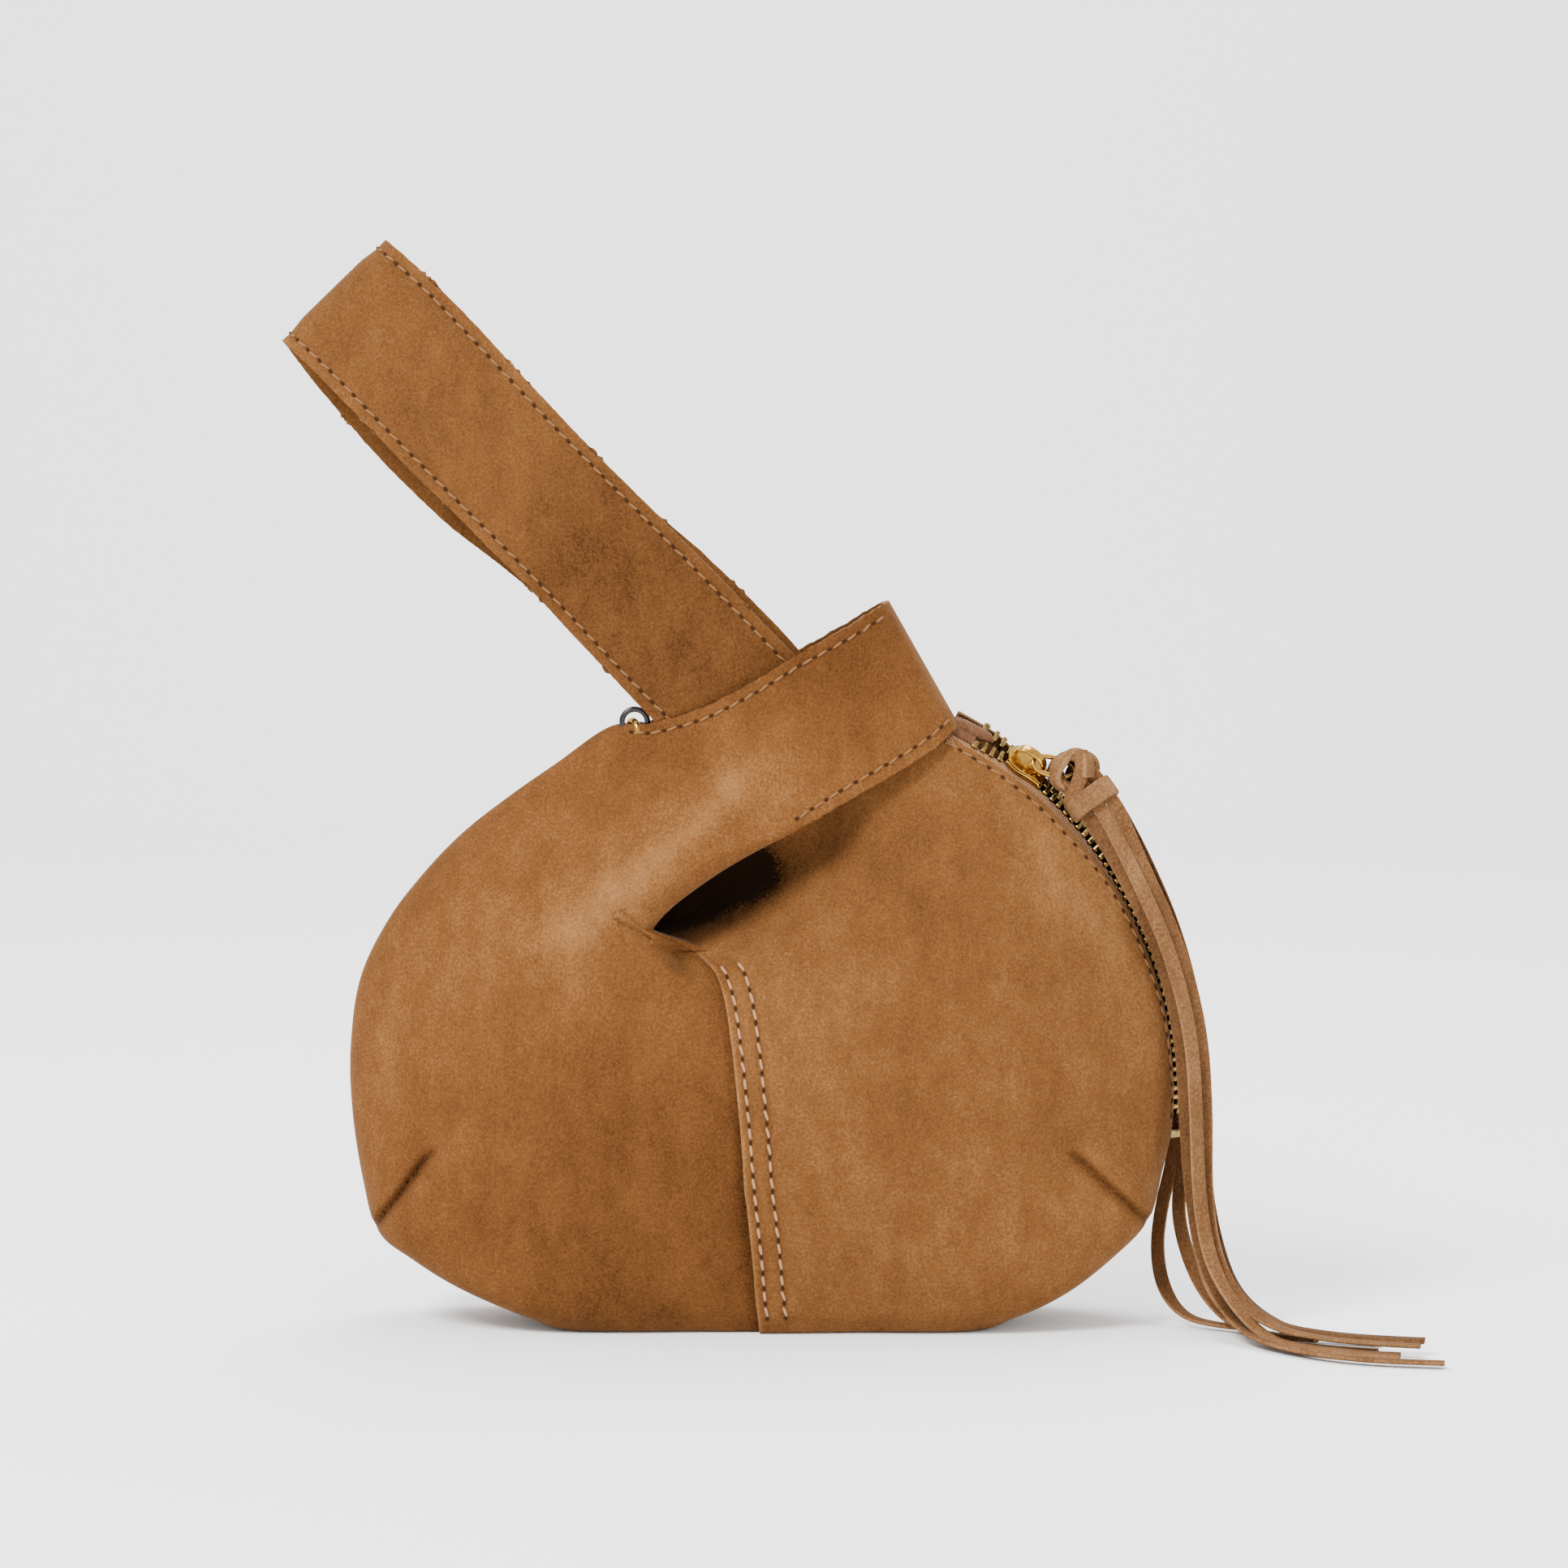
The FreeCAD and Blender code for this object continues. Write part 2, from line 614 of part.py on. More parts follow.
# Each lace: its place in the bundle as (column, row), then its route below the band.
LACES = [
    ((-1, -1), [(95.4, -8.0, 116), (103.9, -9.5, 97), (109.1, -10.5, 76), (110.1, -12, 55),
                (111.4, -14, 36), (114.0, -18, 20), (118.0, -25, 9), (124.0, -35, 2.6),
                (133, -46.5, 1.3), (144, -56, 1.3), (157, -61.5, 1.3), (171, -63.5, 1.3)]),
    ((0, -1), [(97.0, -10.2, 118), (105.6, -12.8, 99), (111.3, -14.0, 77), (112.5, -15.6, 55),
               (113.0, -17.8, 36), (115.4, -22, 20), (121.2, -28.6, 9.2), (129.4, -37.2, 1.6),
               (139, -47.5, 1.3), (150, -52, 1.3), (161, -54.5, 1.3)]),
    ((1, -1), [(98.8, -8.4, 120.2), (107.4, -10.2, 102), (113.7, -11.0, 80), (115.4, -12.2, 57.5),
               (115.1, -14.4, 37), (117.0, -18.6, 20.5), (122.2, -25.6, 10.2), (131, -35, 4.4),
               (142, -44.5, 3.7), (154, -50.5, 3.7), (166, -54, 3.7)]),
    ((-1, 0), [(95.0, -5.2, 116.4), (104.1, -6.4, 97), (109.4, -7.4, 76), (110.6, -8.6, 55.5),
               (111.6, -10.4, 36.5), (113.8, -14, 21), (116.8, -20.4, 10.6), (123, -28, 3.2),
               (132.5, -37.6, 1.3), (144, -45.2, 1.3), (156, -48.6, 1.3)]),
    ((1, 0), [(98.6, -5.2, 120.4), (107.0, -6.6, 102), (113.0, -7.6, 80.5), (114.6, -9, 58),
              (114.5, -11, 38), (117.2, -15.0, 21.6), (122.0, -22.4, 10.6), (132, -31, 4.4),
              (144, -39.4, 3.7), (156, -44.6, 3.7), (168, -47.4, 3.7)]),
    ((-1, 1), [(95.0, 1.2, 119), (105.6, 4.2, 99), (111.2, 8, 78), (111.4, 11, 57),
               (108.6, 11.4, 40), (105.4, 8.4, 28), (103.9, 3.6, 18), (105.0, -3, 9),
               (109.4, -9.4, 2.9), (117, -14.4, 1.3), (126, -18.8, 1.3)]),
    ((0, 1), [(98.0, 0.4, 120.6), (107.2, 0.6, 101), (112.5, 3.4, 80), (113.7, 5.2, 59),
              (111.4, 5.4, 42), (109.0, 2.6, 29.5), (111.2, -4.0, 18), (115.8, -12, 8),
              (122.6, -20.6, 1.9), (132, -29, 1.3), (142, -34.6, 1.3)]),
    ((1, 1), [(99.8, -2.6, 121.6), (108.0, -3.0, 103), (113.6, -3.8, 81), (115.4, -5, 59.5),
              (115.2, -7, 40), (117.8, -11.4, 23), (123.0, -18.4, 10.4), (134.0, -26.4, 2.9),
              (146.4, -32.8, 1.3), (158, -36.8, 1.3)]),
]


def rounded(points):
    """Straight runs joined by tangent arcs, with the arcs' radii."""
    edges = []
    radii = []
    start = points[0]
    for before, corner, after in zip(points, points[1:], points[2:]):
        back = before - corner
        ahead = after - corner
        trim = 0.45 * min(back.Length, ahead.Length)
        turn = math.pi - back.getAngle(ahead)
        radius = trim / math.tan(turn / 2)
        back.normalize()
        ahead.normalize()
        inward = (back + ahead).normalize()
        middle = corner + inward * (math.hypot(radius, trim) - radius)
        edges += [line(start, corner + back * trim),
                  arc(corner + back * trim, middle, corner + ahead * trim)]
        start = corner + ahead * trim
        radii.append(radius)
    edges.append(line(start, points[-1]))
    return Part.Wire(edges), radii


def lace_route(index):
    """All the points of a lace: from the top of the band, straight out, then its own route."""
    (column, row), below = LACES[index]
    top = slot_point(column, row, BAND_NEAR)
    out = slot_point(column, row, BAND_FAR + 3)
    return [top, out] + [V(*place) for place in below]


def laces():
    """The tassel's laces as plain round tubes of the same section area as the flat lace."""
    parts = {}
    for index in range(len(LACES)):
        points = lace_route(index)
        path, radii = rounded(points)
        direction = points[1] - points[0]
        section = Part.Wire(Part.makeCircle(LACE_RADIUS, points[0], direction))
        tube = path.makePipeShell([section], True, False)
        name = "tassel_lace_" + str(index + 1)
        expected = math.pi * LACE_RADIUS ** 2 * path.Length
        print(name, "length %.1f" % path.Length, "volume ratio %.4f" % (tube.Volume / expected),
              "least radius %.1f" % min(radii))
        parts[name] = tube
    return parts


# ---------------------------------------------------------------- key ring

def key_ring_parts():
    """A dark key ring on a brass ring, held by a leather tab on the left panels' top edge."""
    through = V(-0.4, 0.84, 0.36).normalize()
    down = (V(0, 0, -1) - through * through.dot(V(0, 0, -1))).normalize()
    centre = KEY_CENTRE + down * BRASS_MAJOR
    axis = through.cross(down)
    brass = Part.makeTorus(BRASS_MAJOR, BRASS_MINOR, centre, axis)
    low = centre + down * BRASS_MAJOR
    block = box(V(low.x - TAB_HALF_LENGTH, low.y - TAB_HALF_WIDTH, LEDGE_Z),
                V(low.x + TAB_HALF_LENGTH, low.y + TAB_HALF_WIDTH, TAB_TOP_Z))
    hole = Part.makeTorus(BRASS_MAJOR, BRASS_MINOR + 0.1, centre, axis)
    dark = Part.makeTorus(KEY_MAJOR, KEY_MINOR, KEY_CENTRE, Y_AXIS)
    return {"ring_tab": block.cut(hole), "brass_ring": brass, "key_ring": dark}


# ---------------------------------------------------------------- all parts

def build():
    parts = panels()
    parts.update(linings())
    parts.update(long_strap())
    parts.update(short_loop(pouch(0)))
    parts.update(zip_tapes(parts))
    parts.update(zip_teeth())
    parts["zip_end_tab"] = zip_end_tab()
    parts["zip_slider"] = slider()
    parts["pull_ring"] = pull_ring()
    parts["tassel_head"] = tassel_head()
    parts["tassel_band"] = tassel_band()
    parts.update(laces())
    parts.update(key_ring_parts())
    return parts


os.makedirs("parts", exist_ok=True)
for node, shape in build().items():
    shape.exportStep("parts/" + node + ".step")
    print(node, "solids", len(shape.Solids), "valid", shape.isValid(), "volume %.1f" % shape.Volume)
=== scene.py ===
import math

import bmesh
import bpy
import numpy as np
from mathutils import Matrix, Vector


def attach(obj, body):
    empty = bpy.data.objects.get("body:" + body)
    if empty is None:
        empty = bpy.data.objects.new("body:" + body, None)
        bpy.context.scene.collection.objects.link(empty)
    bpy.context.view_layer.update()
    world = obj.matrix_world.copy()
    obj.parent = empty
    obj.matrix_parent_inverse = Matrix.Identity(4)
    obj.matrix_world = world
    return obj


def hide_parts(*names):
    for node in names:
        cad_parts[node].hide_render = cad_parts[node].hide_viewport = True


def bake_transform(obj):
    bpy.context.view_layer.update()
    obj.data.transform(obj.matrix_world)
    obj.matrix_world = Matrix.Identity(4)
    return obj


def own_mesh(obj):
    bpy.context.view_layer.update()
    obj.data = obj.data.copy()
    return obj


# A small suede knot bag: pouch, short loop, long wrist loop, curved zip and lace tassel.
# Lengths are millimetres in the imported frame's axes until a mesh, light or camera is made: x runs
# to the right, y away from the camera and z up.

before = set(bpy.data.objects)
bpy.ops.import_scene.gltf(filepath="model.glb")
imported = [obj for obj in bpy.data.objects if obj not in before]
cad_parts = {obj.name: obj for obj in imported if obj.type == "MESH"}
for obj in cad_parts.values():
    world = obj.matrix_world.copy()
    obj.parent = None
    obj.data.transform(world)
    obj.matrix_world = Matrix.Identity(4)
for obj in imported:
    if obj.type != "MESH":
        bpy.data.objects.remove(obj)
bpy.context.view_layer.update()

MM = 0.001
DEPTH = np.array([0, 1.0, 0])
RNG = np.random.default_rng(7)

# ------------------------------------------------------------------ camera and light

VIEW_CENTRE = Vector((6, 0, 141))
CAMERA_DISTANCE = 1300
CAMERA_ELEVATION = math.radians(5)
VIEW_WIDTH = 407.6


def add_camera():
    """A long lens, nearly level with the bag."""
    data = bpy.data.cameras.new("camera")
    data.sensor_width = 36
    data.lens = data.sensor_width * CAMERA_DISTANCE / VIEW_WIDTH
    camera = bpy.data.objects.new("camera", data)
    bpy.context.scene.collection.objects.link(camera)
    towards = Vector((0, -math.cos(CAMERA_ELEVATION), math.sin(CAMERA_ELEVATION)))
    camera.location = (VIEW_CENTRE + towards * CAMERA_DISTANCE) * MM
    camera.rotation_euler = (math.pi / 2 - CAMERA_ELEVATION, 0, 0)
    bpy.context.scene.camera = camera


def add_area_light(name, place, target, size, power):
    data = bpy.data.lights.new(name, "AREA")
    data.shape = "DISK"
    data.size = size * MM
    data.energy = power
    light = bpy.data.objects.new(name, data)
    light.location = Vector(place) * MM
    direction = (Vector(target) - Vector(place)).normalized()
    light.rotation_euler = direction.to_track_quat("-Z", "Y").to_euler()
    bpy.context.scene.collection.objects.link(light)


def add_lights():
    middle = (0, 0, 110)
    add_area_light("key", (-950, -1000, 1500), middle, 700, 64)
    add_area_light("fill", (1300, -1100, 500), middle, 1000, 11)
    add_area_light("top", (200, 500, 1600), middle, 1000, 25)
    world = bpy.data.worlds.new("studio")
    world.use_nodes = True
    background = world.node_tree.nodes["Background"]
    background.inputs["Color"].default_value = (1, 1, 1, 1)
    background.inputs["Strength"].default_value = 1.55
    bpy.context.scene.world = world


# ------------------------------------------------------------------ materials

class Shader:
    """A small helper that builds one node material."""

    def __init__(self, name):
        self.material = bpy.data.materials.new(name)
        self.material.use_nodes = True
        self.tree = self.material.node_tree
        self.surface = self.tree.nodes["Principled BSDF"]
        self.place = self.node("TexCoord").outputs["Object"]

    def feed(self, socket, value):
        """Give a socket a plain value or another node's output."""
        if isinstance(value, bpy.types.NodeSocket):
            self.tree.links.new(value, socket)
        else:
            socket.default_value = value

    def node(self, kind, **inputs):
        node = self.tree.nodes.new("ShaderNode" + kind)
        for name, value in inputs.items():
            self.feed(node.inputs[name], value)
        return node

    def set(self, **values):
        for name, value in values.items():
            self.feed(self.surface.inputs[name.replace("_", " ")], value)

    def noise(self, scale, detail=3.0, roughness=0.55, stretch=(1, 1, 1)):
        """Noise in object space. A scale of 1 has features about a metre wide."""
        where = self.node("Mapping", Vector=self.place, Scale=stretch).outputs["Vector"]
        return self.node("TexNoise", Vector=where, Scale=scale, Detail=detail,
                         Roughness=roughness).outputs["Fac"]

    def rib(self, scale, degrees):
        """Fine parallel ribs, turned about the y axis."""
        rotation = (0, math.radians(degrees), 0)
        where = self.node("Mapping", Vector=self.place, Rotation=rotation).outputs["Vector"]
        return self.node("TexWave", Vector=where, Scale=scale, Distortion=1.0).outputs["Fac"]

    def tone(self):
        """The paler or darker tone that a mesh carries with it: its own tone, with painted shade and
        painted highlights.
        """
        node = self.node("Attribute")
        node.attribute_name = "tone"
        return node.outputs["Fac"]

    def math(self, operation, a, b):
        node = self.node("Math")
        node.operation = operation
        self.feed(node.inputs[0], a)
        self.feed(node.inputs[1], b)
        return node.outputs[0]

    def ramp(self, factor, stops):
        node = self.node("ValToRGB", Fac=factor)
        elements = node.color_ramp.elements
        while len(elements) < len(stops):
            elements.new(0.5)
        for element, (position, colour) in zip(elements, stops):
            element.position = position
            element.color = (*colour, 1)
        return node.outputs["Color"]

    def bump(self, height, distance, strength, **under):
        """Bumps of a height in millimetres, over another bump's normal if it is given."""
        return self.node("Bump", Height=height, Distance=distance * MM, Strength=strength,
                         **under).outputs["Normal"]


def suede(name, dark, middle, light, roughness=0.95):
    """Napped suede: brushed patches, a fine grain, and a pale sheen at grazing angles."""
    shader = Shader(name)
    patches = shader.noise(30, 5, 0.62, (1.0, 1.0, 0.8))
    strokes = shader.noise(150, 4, 0.65, (1.0, 1.0, 0.5))
    grain = shader.noise(1500, 3, 0.7)
    fibres = shader.noise(2600, 2, 0.7, (1.0, 1.0, 0.5))
    tone = shader.math("ADD", shader.tone(), 0.6)
    for part, amount in ((patches, 0.5), (strokes, 0.44), (grain, 0.95)):
        share = shader.math("MULTIPLY", shader.math("SUBTRACT", part, 0.5), amount)
        tone = shader.math("ADD", tone, share)
    # The tone attribute carries painted shade and highlights; the darkest stop is painted shade for the
    # deepest hollows.
    shade_black = tuple(value * 0.12 for value in dark)
    colour = shader.ramp(tone, [(0.0, shade_black), (0.2, dark), (0.6, middle), (1.0, light)])
    coarse = shader.bump(grain, 0.16, 0.9)
    shader.set(Base_Color=colour, Normal=shader.bump(fibres, 0.1, 0.7, Normal=coarse),
               Roughness=roughness, Specular_IOR_Level=0.06, Sheen_Weight=0.09,
               Sheen_Roughness=0.4, Sheen_Tint=(1.0, 0.72, 0.46, 1))
    return shader.material


def metal(name, colour, shade, roughness):
    """Worn metal: its bare colour, with shade left in the hollows."""
    shader = Shader(name)
    worn = shader.ramp(shader.noise(700, 3, 0.6), [(0.3, shade), (0.65, colour)])
    shader.set(Base_Color=worn, Normal=shader.bump(shader.noise(900, 2), 0.03, 0.5), Metallic=1.0,
               Roughness=roughness)
    return shader.material


def cloth(name, dark, light, weave):
    """A woven cloth with a diagonal rib in two directions."""
    shader = Shader(name)
    height = shader.math("MULTIPLY", shader.rib(weave, 20), shader.rib(weave, -65))
    tone = shader.math("ADD", height, shader.math("MULTIPLY", shader.noise(900), 0.5))
    shader.set(Base_Color=shader.ramp(tone, [(0.2, dark), (0.9, light)]),
               Normal=shader.bump(height, 0.25, 0.8), Roughness=0.9, Specular_IOR_Level=0.15,
               Sheen_Weight=0.2)
    return shader.material


def plain(name, colour, roughness):
    shader = Shader(name)
    shader.set(Base_Color=(*colour, 1), Roughness=roughness, Specular_IOR_Level=0.1)
    return shader.material


SUEDE_LIGHT = suede("suede_light", (0.056, 0.021, 0.0055), (0.128, 0.0505, 0.0142), (0.235, 0.112, 0.040))
SUEDE_DARK = suede("suede_dark", (0.054, 0.0195, 0.0048), (0.124, 0.0475, 0.0128), (0.232, 0.108, 0.038))
LACE = suede("lace", (0.045, 0.018, 0.0065), (0.125, 0.056, 0.021), (0.250, 0.132, 0.060))
EDGE = suede("raw_edge", (0.075, 0.033, 0.013), (0.16, 0.078, 0.035), (0.26, 0.14, 0.07))
TAB_LEATHER = suede("tab_leather", (0.035, 0.012, 0.0045), (0.085, 0.034, 0.015), (0.17, 0.083, 0.04),
                    roughness=0.45)
LINING = cloth("lining", (0.05, 0.028, 0.015), (0.10, 0.064, 0.038), 700)
TAPE = cloth("zip_tape", (0.11, 0.045, 0.015), (0.40, 0.195, 0.075), 520)
ANTIQUE = metal("antique_brass", (0.36, 0.215, 0.062), (0.055, 0.032, 0.012), 0.3)
BRASS = metal("bright_brass", (0.50, 0.285, 0.055), (0.32, 0.165, 0.026), 0.2)
DARK_METAL = metal("dark_metal", (0.05, 0.045, 0.045), (0.03, 0.028, 0.03), 0.32)
THREAD = plain("thread", (0.32, 0.175, 0.098), 0.7)
STRAP_THREAD = plain("strap_thread", (0.18, 0.085, 0.033), 0.75)
# Needle holes are dark marks laid on the leather: painted shade for the inside of each hole.
HOLE_SHADE = plain("needle_hole_shade", (0.03, 0.012, 0.004), 1.0)


# ------------------------------------------------------------------ meshes

def mesh_object(name, points, faces, material, smooth=True, tone=None):
    """A mesh from points in millimetres."""
    mesh = bpy.data.meshes.new(name)
    mesh.from_pydata([tuple(p) for p in np.asarray(points, float) * MM], [], faces)
    mesh.materials.append(material)
    if tone is not None:
        layer = mesh.attributes.new("tone", "FLOAT", "POINT")
        layer.data.foreach_set("value", np.asarray(tone, np.float32))
    mesh.shade_smooth() if smooth else mesh.shade_flat()
    obj = bpy.data.objects.new(name, mesh)
    bpy.context.scene.collection.objects.link(obj)
    return obj


def grid_faces(rows, columns, closed_rows=False, closed_columns=False, flip=False):
    """Quads of a grid whose points are stored row by row."""
    faces = []
    for i in range(rows if closed_rows else rows - 1):
        for j in range(columns if closed_columns else columns - 1):
            a = i * columns + j
            b = i * columns + (j + 1) % columns
            c = ((i + 1) % rows) * columns + (j + 1) % columns
            d = ((i + 1) % rows) * columns + j
            faces.append((d, c, b, a) if flip else (a, b, c, d))
    return faces


def apply_modifiers(obj):
    """Make the modified mesh the object's own mesh."""
    graph = bpy.context.evaluated_depsgraph_get()
    final = bpy.data.meshes.new_from_object(obj.evaluated_get(graph))
    obj.modifiers.clear()
    obj.data = final
    return obj


def add_bevel(obj, width, segments, least_angle=30):
    rounding = obj.modifiers.new("rounding", "BEVEL")
    rounding.width = width * MM
    rounding.segments = segments
    rounding.limit_method = "ANGLE"
    rounding.angle_limit = math.radians(least_angle)


def thicken(obj, thickness, offset=-1.0, bevel=0.35, edge_material=None):
    """Give a surface its thickness and slightly rounded cut edges."""
    solid = obj.modifiers.new("thickness", "SOLIDIFY")
    solid.thickness = thickness * MM
    solid.offset = offset
    solid.use_even_offset = False
    solid.use_rim = True
    if edge_material is not None:
        obj.data.materials.append(edge_material)
        solid.material_offset_rim = 1
    if bevel:
        add_bevel(obj, bevel, 2, 50)
    apply_modifiers(obj)
    obj.data.shade_smooth()
    return obj


def weld(obj):
    """Join points that lie on each other, as along the bag's middle plane."""
    modifier = obj.modifiers.new("weld", "WELD")
    modifier.merge_threshold = 0.02 * MM
    return apply_modifiers(obj)


def joined(name, objects):
    """Several meshes as one object."""
    for obj in bpy.context.selected_objects:
        obj.select_set(False)
    for obj in objects:
        obj.select_set(True)
    bpy.context.view_layer.objects.active = objects[0]
    bpy.ops.object.join()
    objects[0].name = name
    return objects[0]


def place_piece(obj, replaced, body):
    """Hide the nodes that a piece stands for, and attach the piece to the body that it rides."""
    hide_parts(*replaced)
    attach(obj, body)


def unit(vector):
    vector = np.asarray(vector, float)
    return vector / np.linalg.norm(vector)


def smoothstep(x, low, high):
    t = np.clip((np.asarray(x, float) - low) / (high - low), 0, 1)
    return t * t * (3 - 2 * t)


def hill(distance, width):
    return np.exp(-(np.asarray(distance) / width) ** 2 / 2)


def spline(table, stations):
    """Smooth values between the rows of a table, by Catmull and Rom's rule."""
    table = np.asarray(table, float)
    last = len(table) - 1
    stations = np.clip(np.asarray(stations, float), 0, last)
    k = np.minimum(stations.astype(int), last - 1)
    t = (stations - k)[:, None]
    before = table[np.maximum(k - 1, 0)]
    here = table[k]
    after = table[k + 1]
    beyond = table[np.minimum(k + 2, last)]
    slope_here = (after - before) / 2
    slope_after = (beyond - here) / 2
    return ((2 * t ** 3 - 3 * t ** 2 + 1) * here + (t ** 3 - 2 * t ** 2 + t) * slope_here
            + (-2 * t ** 3 + 3 * t ** 2) * after + (t ** 3 - t ** 2) * slope_after)


def lengths_along(line):
    """The distance of each point of a line from its start."""
    return np.concatenate([[0], np.cumsum(np.linalg.norm(np.diff(line, axis=0), axis=1))])


def interpolated(line, lengths, wanted):
    """Values of a line's columns at wanted distances along it."""
    return np.stack([np.interp(wanted, lengths, line[:, i]) for i in range(3)], axis=-1)


def even_steps(line, step):
    """Evenly spaced points along a line."""
    line = np.asarray(line, float)
    lengths = lengths_along(line)
    count = max(int(round(lengths[-1] / step)), 1)
    return interpolated(line, lengths, np.linspace(0, lengths[-1], count + 1))


def segment_distance(x, z, a, b):
    """Front-view distance from a straight line between two places, side of it, and share along it."""
    direction = np.array(b, float) - np.array(a, float)
    length = np.linalg.norm(direction)
    direction /= length
    along = (x - a[0]) * direction[0] + (z - a[1]) * direction[1]
    away = (x - a[0]) * direction[1] - (z - a[1]) * direction[0]
    outside = along - np.clip(along, 0, length)
    return np.hypot(away, outside), away, np.clip(along, 0, length) / length


def marks(x, z, rows):
    """The sum of soft marks, each (amount, width, place) or (amount, width, start, end)."""
    total = 0
    for amount, width, start, *end in rows:
        if end:
            distance = segment_distance(x, z, start, end[0])[0]
        else:
            distance = np.hypot(x - start[0], z - start[1])
        total = total + amount * hill(distance, width)
    return total


def ripple(x, z, seed):
    """Soft irregular waves about one millimetre high."""
    total = 0
    for k in range(7):
        angle = seed * 1.7 + k * 2.399
        wave = 0.055 + 0.028 * k
        phase = seed * 3.1 + k * 1.93
        total = total + np.sin(wave * (x * math.cos(angle) + z * math.sin(angle)) + phase) / (k + 2)
    return total


# ------------------------------------------------------------------ leather sheets

# A sheet is a run of rows from the base upwards and into its loop. Each row goes from the
# sheet's rim edge to its far edge, in the front view, with the sheet's depth along it:
# rim x, z, far x, z, rim depth, depths at the start, middle and end, boxiness, curl at the far end.
LEFT_ROWS = [
    (-30, 0, 7, 0, 0, 0, 0, 0, 1, 0),
    (-44, 0, 7, 0, 0, 11, 11, 10.5, 1, 0),
    (-56, 1.6, 7, 0.6, 0, 18, 18, 16.8, 1, 0),
    (-68, 5.8, 6.7, 4.5, 0, 21.5, 22, 20.6, 0.9, 0),
    (-81, 11.6, 6, 11.5, 0, 23, 24, 22.3, 0.75, 0),
    (-92, 18.4, 5.4, 20, 0, 23, 25.5, 23.9, 0.55, 0),
    (-100.2, 25, 4.5, 29, 0, 22, 26.5, 24.8, 0.35, 0),
    (-104.2, 38, 3.2, 40, 0, 22, 27.3, 25.6, 0.15, 0),
    (-106.8, 55, 2, 53, 0, 22, 27.5, 25.8, 0, 0),
    (-107.2, 72, 0.5, 67, 0, 22, 26.8, 25.2, 0, 0),
    (-104.6, 90, -1.5, 80, 0, 20, 25, 23.3, 0, 0),
    (-97.5, 105, -4.5, 91, 0, 18, 23.5, 20.4, 0, 0),
    (-88.5, 117, -9.5, 97.4, 0, 16, 22, 17, 0, 0),
    (-78, 128, -18, 100.4, 0, 14, 21, 17, 0, 2.4),
    (-66, 137.5, -26.2, 99.9, 0, 12, 20, 19, 0, 4),
    (-53, 146.6, -28.0, 103.9, 0, 10, 19, 21.5, 0, 5.5),
    (-39.6, 155.8, -23.0, 110.2, 0.6, 8, 18, 22, 0, 6),
    (-29, 157.2, -12.2, 118.3, 5, 7, 16, 21, 0, 5),
    (-16.1, 161, -1.5, 124.6, 8, 9, 14, 18.5, 0, 3.2),
    (-3.6, 167.3, 10.3, 130.8, 9.6, 10, 13, 16, 0, 0.6),
    (9, 175, 23, 138.2, 10.2, 10.5, 12, 13.5, 0, 0),
    (22.3, 182.4, 38.2, 146.8, 10.4, 10.4, 10.8, 11.2, 0, 0),
    (28.4, 186.2, 45.2, 151.4, 9.2, 9.2, 9.3, 9.4, 0, 0),
    (32.1, 188.2, 50, 155.2, 5.6, 5.6, 5.7, 5.7, 0, 0),
    (33.2, 188.7, 51.4, 156.6, 0, 0, 0, 0, 0, 0),
]
RIGHT_ROWS = [
    (34, 0, -0.2, 0, 0, 0, 0, 0, 1, 0),
    (50, 0, -0.2, 0, 0, 11.5, 11.5, 12, 1, 0),
    (60.5, 1.2, -0.4, 0.5, 0, 18.5, 18.5, 18.5, 1, 0),
    (71, 5, -0.8, 4.5, 0, 22, 22.8, 22.6, 0.9, 0),
    (82, 10.8, -1.5, 11.5, 0, 23, 24.6, 24.2, 0.75, 0),
    (92.5, 18.8, -2.1, 20, 0, 23, 26, 25.8, 0.55, 0),
    (101.2, 27.8, -3.1, 30, 0, 22.5, 27, 26.8, 0.35, 0),
    (105, 40, -4.2, 41, 0, 22.5, 27.8, 27.5, 0.15, 0),
    (107.2, 51, -5, 52, 2.4, 22, 28, 27.6, 0, 0),
    (107.4, 64.5, -6.2, 64.5, 4.6, 21, 27.5, 27, 0, 0),
    (104.9, 83.2, -7.6, 77, 4.6, 19, 26, 25.4, 0, 0),
    (98.9, 101.0, -9.4, 88, 4.4, 17, 24, 23, 0, 0),
    (91.1, 115.8, -12.4, 95.2, 5.2, 15, 21.5, 19.5, 0, 0),
    (81.9, 127.2, -19, 100, 5.4, 13, 19, 13.5, 0, 0),
    (73.1, 136.7, -27, 103.5, 5.4, 11.5, 16, 8.5, 0, 0),
    (63.1, 144.9, -33, 111, 5.2, 10, 12.5, 5.5, 0, 0),
    (53.2, 151.2, -36, 123, 4.6, 8, 9.5, 5, 0, 0),
    (45, 155.8, -36, 135, 3, 6.5, 7.5, 5, 0, 0),
    (32, 162, -33, 147, 3, 5.5, 6.3, 5, 0, 0),
    (13, 172, -27, 155, 4.6, 5, 5.4, 5, 0, 0),
]
SHEET_THICKNESS = 1.6
SHEET_STEP = 1.1
# Exponents along and across a row, for a lens-shaped and for a box-shaped section.
LENS = (3.2, 1.9)
BOX = (12.0, 5.0)
ROW_SAMPLES = 0.5 - 0.5 * np.cos(np.linspace(0, math.pi, 260))
CURL_TURN = 1.75

LEFT_DART = ((-85.3, 46.7), (-101, 26.0))
RIGHT_DART = ((80.5, 46.7), (101.5, 27.5))
LAP_EDGE = np.array([row[2:4] for row in RIGHT_ROWS[:14]], float)
LAP_TOP = 98
# Stitch lines: distance from the edge, then the first and last row. The lap has two lines.
LAP_STITCHES = ((2.4, 3.0, 12.1), (7.2, 3.0, 12.1))
ZIP_STITCHES = (2.4, 8.3, 16.4)
LOOP_RIM_STITCHES = (2.8, 16.5, 22.6)
LOOP_FAR_STITCHES = (3.2, 19.0, 23.2)
